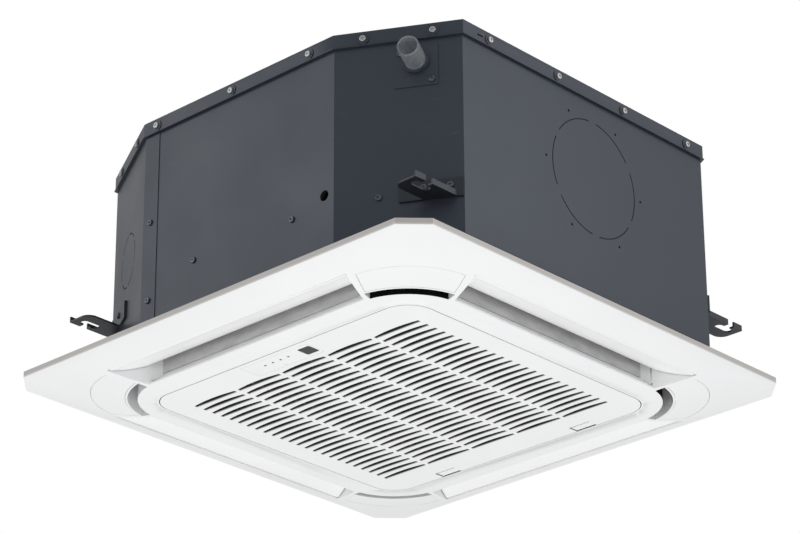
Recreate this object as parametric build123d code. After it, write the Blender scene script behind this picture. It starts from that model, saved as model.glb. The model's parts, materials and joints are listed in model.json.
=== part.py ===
from build123d import *
import math
import os

# Ceiling cassette air conditioner, in millimetres. +Z is up. The origin is the middle of the
# intake grille's face, the lowest point of the hung unit. -Y is the grille's hinge side, where
# the display is, and the casing's drain outlet is on the corner between -Y and +X.

# ---- panel ----
PANEL_SIDE = 647.0
PANEL_CORNER_CUT = 28.0
PANEL_DEPTH = 47.0
EDGE_Z = 21.5
EDGE_HEIGHT = 7.4
EDGE_WALL = 6.0
PANEL_SKIN = 2.0
DOME_FLAT_SIDE = 418.0
DOME_CORNER_RADIUS = 100.0
DOME_POWER = 2.1
DOME_BANDS = 6
FLANGE_THICKNESS = 2.0
FLANGE_SIDE = 548.0
FLANGE_CORNER_CUT = 60.0

# ---- air outlets of the panel ----
OUTLET_INNER = 240.0
OUTLET_OUTER = 288.5
OUTLET_HALF_LENGTH = 190.0
OUTLET_END_SLANT = 0.4
OUTLET_CORNER_RADIUS = 15.0
OUTLET_LIP = 4.0
PORT_INNER = 232.0
PORT_OUTER = 266.0
PORT_HALF_LENGTH = 150.0
DUCT_WALL = 2.0
LINER_THICKNESS = 1.2
LINER_HALF_LENGTH = 156.0
CORNER_SLOT_CENTRE = 162.6
CORNER_SLOT_INNER_RADIUS = 76.0
CORNER_SLOT_OUTER_RADIUS = 88.0
CORNER_SLOT_HALF_ANGLE = 34.0
LID_CENTRE = 190.0
LID_RADIUS = 92.0
LID_GAP = 0.5
LID_APEX = 108.0
LID_HALF_ANGLE = 17.4

# ---- louvres ----
LOUVRE_AXIS_U = 284.3
LOUVRE_AXIS_Z = 14.0
LOUVRE_BEAD_RADIUS = 3.7
LOUVRE_INNER_U = 243.0
LOUVRE_THICKNESS = 2.4
LOUVRE_SAG = 1.4
LOUVRE_OPEN = 30.0
LOUVRE_END_GAP = 2.0
PIN_RADIUS = 1.8
PIN_LENGTH = 7.0
BEARING_RADIUS = 2.8
RUNNING_GAP = 0.05
STEPPER_RADIUS = 9.0
STEPPER_LENGTH = 14.0
STEPPER_OFFSET = 9.0
GEAR_CASE_THICKNESS = 4.0

# ---- intake grille, filter, latches, display ----
GRILLE_SIDE = 416.0
GRILLE_RADIUS = 34.0
GRILLE_GAP = 1.2
GRILLE_PLATE = 5.0
GRILLE_SKIRT = 2.0
GRILLE_SKIRT_TOP = 9.0
OPENING_WALL = 2.0
SLIT_COLUMNS = 5
SLIT_ROWS = 24
SLIT_LENGTH = 67.3
SLIT_PITCH_X = 72.2
SLIT_PITCH_Y = 13.95
SLIT_FAR = 4.5
SLIT_NEAR = 4.5
SLIT_END = 1.5
SLIT_THROAT = 2.4
SLIT_PLATE = 2.2
SLIT_RIB = 2.0
HINGE_AXIS_INSET = 27.8
HINGE_Z = 2.5
HINGE_PIN_RADIUS = 1.2
HINGE_PIN_LENGTH = 10.0
HINGE_PIN_REACH = 4.0
HINGE_BOSS_RADIUS = 4.0
HINGE_BOSS_LENGTH = 6.0
FILTER_X = 380.0
FILTER_Y = 352.0
FILTER_BORDER = 6.0
FILTER_HEIGHT = 4.0
FILTER_BARS = 3
FILTER_BAR = 3.0
MESH_THICKNESS = 0.6
LATCH_X = 108.0
LATCH_WIDTH = 31.0
LATCH_WINDOW = 15.0
LATCH_LENGTH = 10.6
LATCH_TRAVEL = 3.2
LATCH_FLOOR = 1.4
LATCH_GUIDE = 2.5
LATCH_GUIDE_HEIGHT = 2.0
LATCH_SIDE_GAP = 0.4
LATCH_DIMPLE = 4.0
INSERT_X = 104.0
INSERT_Y = 30.0
INSERT_CENTRE_X = -8.0
INSERT_CENTRE_Y = -187.0
INSERT_GAP = 0.3
INSERT_HEIGHT = 8.5
INSERT_FACE = 3.5
INSERT_WALL = 1.0
LAMP_RADIUS = 1.6
LAMP_FIRST_X = -32.6
LAMP_PITCH = 12.2
LAMP_Y = -189.0
LAMP_COUNT = 4
RECEIVER_X = 33.0
RECEIVER_Y = -186.4
RECEIVER_SIDE = 18.5
BUTTON_X = -12.6
BUTTON_Y = -176.4
BUTTON_RADIUS = 1.8
BUTTON_FLANGE = 1.0

# ---- casing ----
BODY_SIDE = 570.0
BODY_HEIGHT = 260.0
BODY_CUT_X = 130.0
BODY_CUT_Y = 72.0
BODY_SHIFT_X = 9.0
BODY_SHIFT_Y = 2.4
SEAL_THICKNESS = 6.0
TOP_SHEET = 1.0
SHEET = 0.8
RIM_FOLD = 2.5
RIM_HEIGHT = 18.0
RIM_BEAD = 1.2
FIT_GAP = 0.1
FLANGE_IN = 10.0
STRIP_WIDTH = 23.0
FOAM_WALL = 6.0
FOAM_TOP = 12.0
KNOCKOUT_RADIUS = 72.0
KNOCKOUT_SLOT = 1.4
KNOCKOUT_BRIDGE_DEG = 10.0
KNOCKOUT_COUNT = 6
KNOCKOUT_Z = 197.0
KNOCKOUT_Y = 9.5
DUCT_SCREW_PCD = 166.0
DUCT_SCREW_RADIUS = 1.6
SMALL_KNOCKOUT_RADIUS = 33.0
SMALL_KNOCKOUT_Z = 169.5
CABLE_HOLE_RADIUS = 6.3
CABLE_HOLE_X = 140.0
CABLE_HOLE_Z = 120.0
FRONT_SCREW_X = 90.5
FRONT_SCREW_Z = 107.5
LEFT_SCREW_X = 67.3
LEFT_SCREW_Z = 109.4
CORNER_SCREW_ALONG = 23.0
CORNER_SCREW_Z = 106.0
LAP_SCREW_LOW = 29.0
LAP_SCREW_HIGH = 128.0
BACK_SCREW_X = 80.0
SIDE_SCREW_Y = 120.0
SIDE_SCREW_Z = 108.0
RIM_SCREW_DROP = 9.5
RIM_FRONT_PITCH = 125.0
RIM_FRONT_SHIFT = 8.0
RIM_SIDE_PITCH = 117.0
RIM_SIDE_SHIFT = 6.0
RIM_CORNER_ALONG = 40.0
RIM_DIMPLE_RADIUS = 7.0
RIM_DIMPLE_HEIGHT = 1.0
RIM_SLIT_ALONG = 185.0
RIM_SLIT_LENGTH = 9.0
TOP_RING_OUTER = 118.0
TOP_RING_INNER = 112.0
TOP_RIB_HEIGHT = 1.5
TOP_RIB_START = 130.0
TOP_RIB_END = 205.0
TOP_RIB_WIDTH = 6.0
TOP_RIBS = 8
SCREW_HEAD_RADIUS = 3.8
SCREW_HEAD_HEIGHT = 2.2
SCREW_SHANK_RADIUS = 1.5
SCREW_SHANK_LENGTH = 4.0
SCREW_ROUNDING = 0.45
SCREW_SLOT_LENGTH = 1.1
SCREW_SLOT_WIDTH = 0.25

# ---- hanging hooks: slot centres give the bolt pitch ----
HANG_PITCH_X = 530.0
HANG_PITCH_Y = 524.0
HANG_SLOT_RADIUS = 5.5
HANG_SLOT_LENGTH = 26.0
HANG_MOUTH = 10.5
HANG_Z = 96.5
HOOK_SHEET = 2.0
HOOK_EDGE = 12.0
HOOK_WIDTH = 33.0
HOOK_END = 21.0
HOOK_LIP = 7.0
HOOK_LENGTH = 110.0
HOOK_ROUNDING = 12.0
HOOK_SCREW_NEAR = 28.0
HOOK_SCREW_FAR = 58.0
HOOK_SCREW_RISE = 14.0
HOOK_FOOT_ALONG = 36.0
HOOK_FOOT_RISE = 11.0
HOOK_FOOT_LENGTH = 72.0
HOOK_FOOT_HEIGHT = 22.0
HOOK_FOOT_PACKING = 0.9

# ---- inside the casing ----
PAN_HEIGHT = 42.0
PAN_HOLE_RADIUS = 165.0
GROOVE_DEPTH = 22.0
GROOVE_GAP = 5.0
CHANNEL_HEIGHT = 7.0
SUMP_DEPTH = 30.0
COIL_OUTER = 214.0
COIL_DEPTH = 26.0
COIL_RADIUS = 58.0
COIL_PUMP_RADIUS = 80.0
COIL_END = 134.0
TUBE_RADIUS = 3.5
TUBE_ROWS = 9
TUBE_PITCH = 21.0
TUBE_FIRST = 18.0
TUBE_HALF_SPREAD = 6.5
BEND_REACH = 8.0
END_PLATE = 1.5
FAN_RADIUS = 155.0
FAN_EYE_RADIUS = 118.0
FAN_BLADES = 7
BLADE_THICKNESS = 3.0
FAN_SHEET = 2.2
FAN_TOP_GAP = 9.0
HUB_RADIUS = 14.0
DOME_HUB_RADIUS = 74.0
THROAT_RADIUS = 112.0
BELL_RADIUS = 150.0
BELL_FLANGE_RADIUS = 186.0
BELL_SHEET = 2.5
THROAT_OVERLAP = 9.0
MOTOR_RADIUS = 60.0
MOTOR_HEIGHT = 56.0
SHAFT_RADIUS = 6.0
BEARING_OUTER = 14.0
BEARING_WIDTH = 8.0
MOUNT_RADIUS = 9.0
MOUNT_BOLT_RADIUS = 3.0
BRACKET_SHEET = 2.0
BRACKET_RADIUS = 78.0
PUMP_RADIUS = 22.0
PUMP_INSET = 38.0
PUMP_ALONG = 20.0
PUMP_BOTTOM = 8.0
PUMP_HEAD_RADIUS = 18.0
IMPELLER_RADIUS = 12.0
PUMP_CHAMBER = 24.0
PUMP_LID = 6.0
PUMP_LID_BORE = 6.0
PUMP_COLUMN_RADIUS = 12.0
PUMP_COLUMN = 30.0
PUMP_STEM_BORE = 45.0
PUMP_CAN = 50.0
PUMP_SPIGOT_END = 165.0
PUMP_FOOT = 3.0
PUMP_FOOT_REACH = 6.0
IMPELLER_HUB_RADIUS = 4.0
IMPELLER_LOW = 2.0
IMPELLER_HIGH = 20.0
IMPELLER_STEM = 44.0
VANE_LOW = 3.0
VANE_HIGH = 18.0
VANE_THICKNESS = 1.6
VANE_PLATES = 4
DRAIN_Z = 268.0
DRAIN_RADIUS = 12.5
DRAIN_BORE = 10.5
DRAIN_ROOT_RADIUS = 12.0
DRAIN_COLLAR = 5.0
DRAIN_REACH = 38.0
DRAIN_PLATE = 50.0
DRAIN_PLATE_SHEET = 1.2
DRAIN_PLATE_DROP = 6.0
DRAIN_COLLAR_WALL = 3.0
DRAIN_SCREW_ALONG = 18.0
DRAIN_SCREW_HIGH = 12.0
DRAIN_SCREW_LOW = 24.0
HOSE_START = 150.0
HOSE_BEND = 14.0
CUFF_LENGTH = 8.0
HOSE_RADIUS = 8.0
HOSE_BORE = 6.0
FLOAT_RADIUS = 9.0
FLOAT_BORE = 2.5
FLOAT_HEIGHT = 14.0
FLOAT_ALONG = -34.0
STEM_RADIUS = 2.2
FLOAT_INSET = 34.0
FLOAT_STOP_RADIUS = 5.0
FLOAT_STOP = 2.0
GUIDE_HEAD_RADIUS = 7.0
GUIDE_HEAD_LOW = 12.0
GUIDE_HEAD_HEIGHT = 12.0
GUIDE_ARM_LENGTH = 16.0
GUIDE_ARM_WIDTH = 5.0
GUIDE_ARM_HEIGHT = 4.0
GAS_RADIUS = 6.35
LIQUID_RADIUS = 3.175
PIPE_WALL = 0.8
PIPE_REACH = 40.0
PIPE_INSIDE = 34.0
PIPE_BEND = 2.2
PIPE_PLATE_WIDTH = 44.0
PIPE_PLATE_HEIGHT = 86.0
PIPE_PLATE_SHEET = 1.2
PIPE_COLLAR = 6.0
PIPE_COLLAR_WALL = 3.0
GAS_UNION_RADIUS = 9.5
LIQUID_UNION_RADIUS = 5.5
UNION_LENGTH = 12.0
UNION_HEXAGON = 12.0
UNION_SHOULDER = 2.0
PIPE_ALONG = 28.0
GAS_Z = 171.0
LIQUID_Z = 131.0
CONTROL_X = 200.0
CONTROL_Y = 46.0
CONTROL_HEIGHT = 18.0
CONTROL_WALL = 1.5
CONTROL_CENTRE_Y = -182.0
PANEL_SCREW_XY = 188.0
PANEL_SCREW_RADIUS = 2.5
PANEL_SCREW_LENGTH = 22.0

# ---- levels that follow from the sizes above ----
BODY_Z = PANEL_DEPTH + SEAL_THICKNESS
TOP_Z = BODY_Z + BODY_HEIGHT
WALL_OUT = RIM_FOLD + FIT_GAP
WALL_IN = WALL_OUT + SHEET
PAN_Z = BODY_Z + SHEET + FIT_GAP
PAN_TOP = PAN_Z + PAN_HEIGHT
FOAM_Z = TOP_Z - TOP_SHEET - FOAM_TOP
COIL_Z = PAN_TOP - GROOVE_DEPTH
COIL_INNER = COIL_OUTER - COIL_DEPTH
SUMP_Z = PAN_TOP - SUMP_DEPTH
FLANGE_Z = PANEL_DEPTH - FLANGE_THICKNESS
EDGE_TOP = EDGE_Z + EDGE_HEIGHT
OPENING_HALF = GRILLE_SIDE / 2 + GRILLE_GAP
OPENING_RADIUS = GRILLE_RADIUS + GRILLE_GAP
FAN_TOP = FOAM_Z - FAN_TOP_GAP
THROAT_TOP = PAN_TOP + 8.0
SHROUD_Z = THROAT_TOP - THROAT_OVERLAP
MOTOR_TOP = FOAM_Z + 4.0
MOTOR_Z = MOTOR_TOP - MOTOR_HEIGHT
HUB_Z = MOTOR_Z - 14.0
SHAFT_BOTTOM = HUB_Z - 18.0
BELL_Z = PAN_Z - BELL_SHEET
FILTER_Z = GRILLE_SKIRT_TOP
CHAMFER_LENGTH = math.hypot(BODY_CUT_X, BODY_CUT_Y)
HINGE_Y = -GRILLE_SIDE / 2 + HINGE_AXIS_INSET


# ---- plain shapes ----
def block(x0, x1, y0, y1, z0, z1):
    return Pos((x0 + x1) / 2, (y0 + y1) / 2, (z0 + z1) / 2) * Box(x1 - x0, y1 - y0, z1 - z0)


def disc(radius, z0, z1, x=0.0, y=0.0):
    return Pos(x, y, (z0 + z1) / 2) * Cylinder(radius, z1 - z0)


def tube(outer, inner, z0, z1, x=0.0, y=0.0):
    return disc(outer, z0, z1, x, y) - disc(inner, z0 - 1, z1 + 1, x, y)


def prism(points, z0, z1):
    outline = Polyline([(x, y, z0) for x, y in points], close=True)
    return extrude(make_face(outline), amount=z1 - z0, dir=(0, 0, 1))


def side_prism(points, x0, x1):
    """A section drawn outwards (u) and up (z) on the -Y side, run along X."""
    outline = Polyline([(x0, -u, z) for u, z in points], close=True)
    return extrude(make_face(outline), amount=x1 - x0, dir=(1, 0, 0))


def rounded(half_x, half_y, radius, z0, z1):
    face = Pos(0, 0, z0) * RectangleRounded(2 * half_x, 2 * half_y, radius)
    return extrude(face, amount=z1 - z0, dir=(0, 0, 1))


def spun(points):
    """A closed section of radius and height, turned about the fan's axis."""
    outline = Polyline([(r, 0, z) for r, z in points], close=True)
    return revolve(make_face(outline), axis=Axis.Z)


def rod(start, end, radius):
    direction = Vector(*end) - Vector(*start)
    frame = Plane(origin=start, z_dir=direction)
    return frame.location * Pos(0, 0, direction.length / 2) * Cylinder(radius, direction.length)


def turned(shape, quarter):
    return Rot(0, 0, 90 * quarter) * shape


def group(shapes):
    solids = []
    for shape in shapes:
        solids.extend(shape.solids())
    return Compound(solids)


def save(name, shape):
    export_step(shape, f"parts/{name}.step")


# ---- the casing's eight-sided plan ----
def body_outline(inset):
    half = BODY_SIDE / 2
    edge = half - inset
    reach = (BODY_CUT_Y * (half - BODY_CUT_X) + BODY_CUT_X * half) - inset * CHAMFER_LENGTH
    x = (reach - BODY_CUT_X * edge) / BODY_CUT_Y
    y = (reach - BODY_CUT_Y * edge) / BODY_CUT_X
    ring = [(x, -edge), (edge, -y), (edge, y), (x, edge), (-x, edge), (-edge, y), (-edge, -y), (-x, -edge)]
    return [(px + BODY_SHIFT_X, py + BODY_SHIFT_Y) for px, py in ring]


def body_block(inset, z0, z1):
    return prism(body_outline(inset), z0, z1)


def body_ring(outer, inner, z0, z1):
    return body_block(outer, z0, z1) - body_block(inner, z0 - 1, z1 + 1)


def straight_wall(nx, ny, along, z, inset):
    """A spot on a straight wall: local Z points out of the wall, local Y points up."""
    reach = BODY_SIDE / 2 - inset
    x = BODY_SHIFT_X + nx * reach - ny * along
    y = BODY_SHIFT_Y + ny * reach + nx * along
    return Plane(origin=(x, y, z), x_dir=(-ny, nx, 0), z_dir=(nx, ny, 0)).location


def corner_wall(sx, sy, along, z, inset):
    """A spot on a corner wall, measured from the middle of the wall."""
    nx = sx * BODY_CUT_Y / CHAMFER_LENGTH
    ny = sy * BODY_CUT_X / CHAMFER_LENGTH
    x = BODY_SHIFT_X + sx * (BODY_SIDE / 2 - BODY_CUT_X / 2) - nx * inset - ny * along
    y = BODY_SHIFT_Y + sy * (BODY_SIDE / 2 - BODY_CUT_Y / 2) - ny * inset + nx * along
    return Plane(origin=(x, y, z), x_dir=(-ny, nx, 0), z_dir=(nx, ny, 0)).location


FRONT = (0, -1)
RIGHT = (1, 0)
BACK = (0, 1)
LEFT = (-1, 0)
NEAR = (1, -1)
LEFT_CORNER = (-1, -1)
FAR = (-1, 1)
RIGHT_CORNER = (1, 1)


def spot(wall, along, z, inset):
    if 0 in wall:
        return straight_wall(*wall, along, z, inset)
    return corner_wall(*wall, along, z, inset)


# ---- screws ----
def screw(head_radius=SCREW_HEAD_RADIUS, shank_radius=SCREW_SHANK_RADIUS, length=SCREW_SHANK_LENGTH):
    """A cross-head screw whose head stands on the plane z = 0."""
    head = disc(head_radius, 0, SCREW_HEAD_HEIGHT)
    head = fillet(head.edges().group_by(Axis.Z)[-1], SCREW_HEAD_HEIGHT * SCREW_ROUNDING)
    for turn in (0, 90):
        slot = Box(head_radius * SCREW_SLOT_LENGTH, head_radius * SCREW_SLOT_WIDTH, SCREW_HEAD_HEIGHT)
        head -= Pos(0, 0, SCREW_HEAD_HEIGHT) * Rot(0, 0, turn) * slot
    return head + disc(shank_radius, -length, 0)


def rim_spots():
    places = []
    for wall, way in ((FRONT, -1), (BACK, 1)):
        places += [(wall, way * RIM_FRONT_SHIFT + RIM_FRONT_PITCH * i) for i in (-1, 0, 1)]
    for wall, way in ((RIGHT, 1), (LEFT, -1)):
        places += [(wall, way * RIM_SIDE_SHIFT + RIM_SIDE_PITCH * i) for i in (-1.5, -0.5, 0.5, 1.5)]
    for wall in (NEAR, LEFT_CORNER, FAR, RIGHT_CORNER):
        places += [(wall, -RIM_CORNER_ALONG), (wall, RIM_CORNER_ALONG)]
    return places


# ---- casing ----
def make_top_plate():
    plate = body_block(0, TOP_Z - TOP_SHEET, TOP_Z)
    rim = body_ring(0, RIM_FOLD, TOP_Z - RIM_HEIGHT, TOP_Z)
    bead = body_ring(-RIM_BEAD, RIM_FOLD, TOP_Z - RIM_HEIGHT, TOP_Z - RIM_HEIGHT + RIM_BEAD)
    plate = plate + rim + bead
    top = TOP_Z + TOP_RIB_HEIGHT
    plate += tube(TOP_RING_OUTER, TOP_RING_INNER, TOP_Z, top)
    for turn in range(TOP_RIBS):
        rib = block(TOP_RIB_START, TOP_RIB_END, -TOP_RIB_WIDTH / 2, TOP_RIB_WIDTH / 2, TOP_Z, top)
        plate += Rot(0, 0, 360 / TOP_RIBS * (turn + 0.5)) * rib
    for wall, along in rim_spots():
        place = spot(wall, along, TOP_Z - RIM_SCREW_DROP, 0)
        dimple = Pos(0, 0, RIM_DIMPLE_HEIGHT / 2) * Cylinder(RIM_DIMPLE_RADIUS, RIM_DIMPLE_HEIGHT)
        plate += place * dimple
        plate -= place * Cylinder(SCREW_SHANK_RADIUS, 20)
    slit = spot(RIGHT, -RIM_SLIT_ALONG, TOP_Z - RIM_SCREW_DROP, 0)
    return plate - slit * Box(RIM_SLIT_LENGTH, 2, 8)


def casing_walls():
    walls = body_ring(WALL_OUT, WALL_IN, BODY_Z, TOP_Z - TOP_SHEET)
    return walls + body_ring(WALL_OUT, WALL_IN + FLANGE_IN, BODY_Z, BODY_Z + SHEET)


def wall_strip(wall, along, z0, z1):
    """A flange of one sheet that laps over its neighbour."""
    place = spot(wall, along, (z0 + z1) / 2, WALL_OUT)
    return place * (Pos(0, 0, SHEET / 2) * Box(STRIP_WIDTH, z1 - z0, SHEET))


def lap():
    """The lap of the left sheet over the front one."""
    edge = BODY_SIDE / 2 - BODY_CUT_X
    return wall_strip(FRONT, 2 + STRIP_WIDTH / 2 - edge, BODY_Z, TOP_Z - RIM_HEIGHT - 1)


def knockout(radius):
    """Arcs cut along a circle, with small bridges left between them."""
    arcs = []
    for i in range(KNOCKOUT_COUNT):
        span = 360 / KNOCKOUT_COUNT - KNOCKOUT_BRIDGE_DEG
        start = 360 / KNOCKOUT_COUNT * (i + 0.5) + KNOCKOUT_BRIDGE_DEG / 2
        path = CenterArc((0, 0), radius, start, span)
        arcs.append(extrude(trace(path, KNOCKOUT_SLOT), amount=6, both=True))
    return arcs


def drain_plate_screws():
    return [(-DRAIN_SCREW_ALONG, DRAIN_SCREW_HIGH), (DRAIN_SCREW_ALONG, -DRAIN_SCREW_LOW)]


def clear_screws(shape):
    """Holes with some room for the ends of every screw through the casing."""
    radius = SCREW_SHANK_RADIUS + 0.8
    places = side_screw_spots() + [(wall, along, TOP_Z - RIM_SCREW_DROP) for wall, along in rim_spots()]
    for wall in (NEAR, LEFT_CORNER, FAR, RIGHT_CORNER):
        places += [(wall, along, z) for along, z in hook_screw_spots(wall)]
    places += [(NEAR, PUMP_ALONG + x, DRAIN_Z + y) for x, y in drain_plate_screws()]
    for wall, along, z in places:
        shape -= spot(wall, along, z, 0) * Cylinder(radius, 16)
    return shape


def duct_screw_places():
    """The ring of screw holes around the branch duct's knock-out."""
    middle = spot(RIGHT, KNOCKOUT_Y, KNOCKOUT_Z, 0)
    turns = [360 / KNOCKOUT_COUNT * i for i in range(KNOCKOUT_COUNT)]
    return [middle * Rot(0, 0, turn) * Pos(DUCT_SCREW_PCD / 2, 0, 0) for turn in turns]


def side_screw_spots():
    places = [(FRONT, FRONT_SCREW_X, FRONT_SCREW_Z), (FRONT, -LEFT_SCREW_X, LEFT_SCREW_Z)]
    places.append((NEAR, -CORNER_SCREW_ALONG, CORNER_SCREW_Z))
    lap_along = BODY_SIDE / 2 - BODY_CUT_X - STRIP_WIDTH / 2 - 2
    for wall, sign in ((FRONT, -1), (BACK, -1), (BACK, 1)):
        places += [(wall, sign * lap_along, BODY_Z + rise) for rise in (LAP_SCREW_LOW, LAP_SCREW_HIGH)]
    for wall, along in ((BACK, BACK_SCREW_X), (LEFT, SIDE_SCREW_Y)):
        places += [(wall, way * along, SIDE_SCREW_Z) for way in (-1, 1)]
    return places


def cut_wall_holes(sheet):
    for wall, along in rim_spots():
        sheet -= spot(wall, along, TOP_Z - RIM_SCREW_DROP, 0) * Cylinder(SCREW_SHANK_RADIUS, 20)
    for wall, along, z in side_screw_spots():
        sheet -= spot(wall, along, z, 0) * Cylinder(SCREW_SHANK_RADIUS, 20)
    for wall in (NEAR, LEFT_CORNER, FAR, RIGHT_CORNER):
        for along, z in hook_screw_spots(wall):
            sheet -= spot(wall, along, z, 0) * Cylinder(SCREW_SHANK_RADIUS, 20)
    for x, y in drain_plate_screws():
        sheet -= spot(NEAR, PUMP_ALONG + x, DRAIN_Z + y, 0) * Cylinder(SCREW_SHANK_RADIUS, 20)
    return sheet


def casing_piece(sheet, cuts):
    """One bent sheet, less its cuts and the holes for its screws."""
    for shape in cuts:
        sheet -= shape
    return cut_wall_holes(sheet)


def joint_x(wall_sign):
    return BODY_SHIFT_X + wall_sign * (BODY_SIDE / 2 - BODY_CUT_X - 4)


def make_casing_front():
    """One sheet wraps the -Y wall, the near corner and the +X wall."""
    far = BODY_SIDE
    keep = block(joint_x(-1) + FIT_GAP, far, -far, -BODY_SIDE / 4, 0, TOP_Z)
    keep += block(BODY_SIDE / 4, far, -far, BODY_SHIFT_Y + BODY_SIDE / 2 - BODY_CUT_Y - 1, 0, TOP_Z)
    place = spot(RIGHT, KNOCKOUT_Y, KNOCKOUT_Z, 0)
    cuts = [place * arc for arc in knockout(KNOCKOUT_RADIUS)]
    cuts += [screw_place * Cylinder(DUCT_SCREW_RADIUS, 20) for screw_place in duct_screw_places()]
    cuts.append(spot(FRONT, CABLE_HOLE_X, CABLE_HOLE_Z, 0) * Cylinder(CABLE_HOLE_RADIUS, 20))
    cuts.append(spot(NEAR, PUMP_ALONG, DRAIN_Z, 0) * Cylinder(DRAIN_RADIUS + 1, 20))
    return casing_piece(casing_walls() & keep, cuts)


def make_casing_left():
    """The left corner and the -X wall, lapped over the front sheet."""
    far = BODY_SIDE
    keep = block(-far, joint_x(-1) - FIT_GAP, -far, BODY_SHIFT_Y + BODY_SIDE / 2 - BODY_CUT_Y - 1, 0, TOP_Z)
    place = spot(LEFT_CORNER, 0, SMALL_KNOCKOUT_Z, 0)
    cuts = [place * arc for arc in knockout(SMALL_KNOCKOUT_RADIUS)]
    return casing_piece((casing_walls() & keep) + lap(), cuts)


def make_casing_rear():
    """The far corner, the +Y wall and the right corner."""
    far = BODY_SIDE
    keep = block(-far, far, BODY_SHIFT_Y + BODY_SIDE / 2 - BODY_CUT_Y - 1 + FIT_GAP, far, 0, TOP_Z)
    cuts = []
    for z, radius in ((GAS_Z, GAS_RADIUS), (LIQUID_Z, LIQUID_RADIUS)):
        cuts.append(spot(FAR, -PIPE_ALONG, z, 0) * Cylinder(radius + 2, 20))
    return casing_piece(casing_walls() & keep, cuts)


def make_foam_liner():
    """Foam sheets glued to the eight walls and under the top."""
    ring = body_ring(WALL_IN + FIT_GAP, WALL_IN + FOAM_WALL, PAN_TOP, FOAM_Z)
    roof = body_block(WALL_IN + FIT_GAP, FOAM_Z, TOP_Z - TOP_SHEET)
    liner = ring + roof - disc(BRACKET_RADIUS + 8, FOAM_Z - 1, TOP_Z)
    liner -= spot(NEAR, PUMP_ALONG, DRAIN_Z, 0) * Cylinder(DRAIN_RADIUS + 1, 40)
    liner -= spot(FRONT, CABLE_HOLE_X, CABLE_HOLE_Z, 0) * Cylinder(CABLE_HOLE_RADIUS + 2, 40)
    for place in duct_screw_places():
        liner -= place * Cylinder(DUCT_SCREW_RADIUS + 1, 40)
    for z, radius in ((GAS_Z, GAS_RADIUS), (LIQUID_Z, LIQUID_RADIUS)):
        liner -= spot(FAR, -PIPE_ALONG, z, 0) * Cylinder(radius + 2, 40)
    liner = clear_screws(liner)
    sheets = [liner & body_block(-1, FOAM_Z, TOP_Z)]
    ring = body_outline(-50)
    middle = (BODY_SHIFT_X, BODY_SHIFT_Y)
    for i in range(8):
        sheets.append(liner & prism([middle, ring[i - 1], ring[i]], PAN_TOP - 1, FOAM_Z))
    return group(sheets)


# ---- hanging hooks ----
def hook_screw_spots(wall):
    turn = wall[0] * wall[1]
    return [(-turn * along, HANG_Z + HOOK_SCREW_RISE) for along in (HOOK_SCREW_FAR, HOOK_SCREW_NEAR)]


def make_hook(wall):
    """A steel angle on a corner wall: its flat leg has an open J slot and a turned-up lip."""
    sx, sy = wall
    slot_x = BODY_SHIFT_X + sx * HANG_PITCH_X / 2
    slot_y = BODY_SHIFT_Y + sy * HANG_PITCH_Y / 2
    outer = slot_x + sx * HOOK_EDGE
    inner = outer - sx * HOOK_WIDTH
    end = slot_y + sy * HOOK_END
    x0, x1 = sorted((inner, outer))
    y0, y1 = sorted((end, end - sy * HOOK_LENGTH))
    z1 = HANG_Z + HOOK_SHEET
    leg = block(x0, x1, y0, y1, HANG_Z, z1)
    corner = leg.edges().filter_by(Axis.Z).sort_by_distance((inner, end, HANG_Z))[0]
    leg = fillet(corner, HOOK_ROUNDING)
    lip = block(*sorted((outer, outer - sx * HOOK_SHEET)), y0, y1, HANG_Z, HANG_Z + HOOK_LIP)
    hook = leg + lip
    reach = HANG_SLOT_LENGTH / 2 - HANG_SLOT_RADIUS
    for way in (-1, 1):
        hook -= disc(HANG_SLOT_RADIUS, HANG_Z - 1, z1 + 1, slot_x, slot_y + way * reach)
    hook -= block(slot_x - HANG_SLOT_RADIUS, slot_x + HANG_SLOT_RADIUS, slot_y - reach, slot_y + reach,
                  HANG_Z - 1, z1 + 1)
    hook -= block(*sorted((slot_x, outer + sx)), slot_y - HANG_MOUTH / 2, slot_y + HANG_MOUTH / 2,
                  HANG_Z - 1, z1 + HOOK_LIP)
    hook -= body_block(WALL_OUT - SHEET - FIT_GAP - HOOK_SHEET, HANG_Z - 1, HANG_Z + HOOK_LIP + 1)
    turn = sx * sy
    place = spot(wall, -turn * HOOK_FOOT_ALONG, HANG_Z + HOOK_FOOT_RISE, WALL_OUT)
    thick = HOOK_SHEET + HOOK_FOOT_PACKING
    foot = place * (Pos(0, 0, thick / 2) * Box(HOOK_FOOT_LENGTH, HOOK_FOOT_HEIGHT, thick))
    foot = foot - body_block(WALL_OUT, 0, TOP_Z)
    hook = foot + hook
    for along, z in hook_screw_spots(wall):
        hook -= spot(wall, along, z, 0) * Cylinder(SCREW_SHANK_RADIUS, 20)
    return hook


def make_hooks():
    return group([make_hook(wall) for wall in (NEAR, LEFT_CORNER, FAR, RIGHT_CORNER)])


# ---- drain outlet ----
def make_drain_plate():
    place = spot(NEAR, PUMP_ALONG, DRAIN_Z, WALL_OUT)
    plate = Box(DRAIN_PLATE, DRAIN_PLATE, DRAIN_PLATE_SHEET)
    plate = Pos(0, -DRAIN_PLATE_DROP, DRAIN_PLATE_SHEET / 2) * plate
    collar = disc(DRAIN_RADIUS + DRAIN_COLLAR_WALL, 0, DRAIN_COLLAR)
    plate = plate + collar - Cylinder(DRAIN_ROOT_RADIUS, 30)
    for x, y in drain_plate_screws():
        plate -= Pos(x, y, 0) * Cylinder(SCREW_SHANK_RADIUS, 10)
    return place * plate


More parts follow.
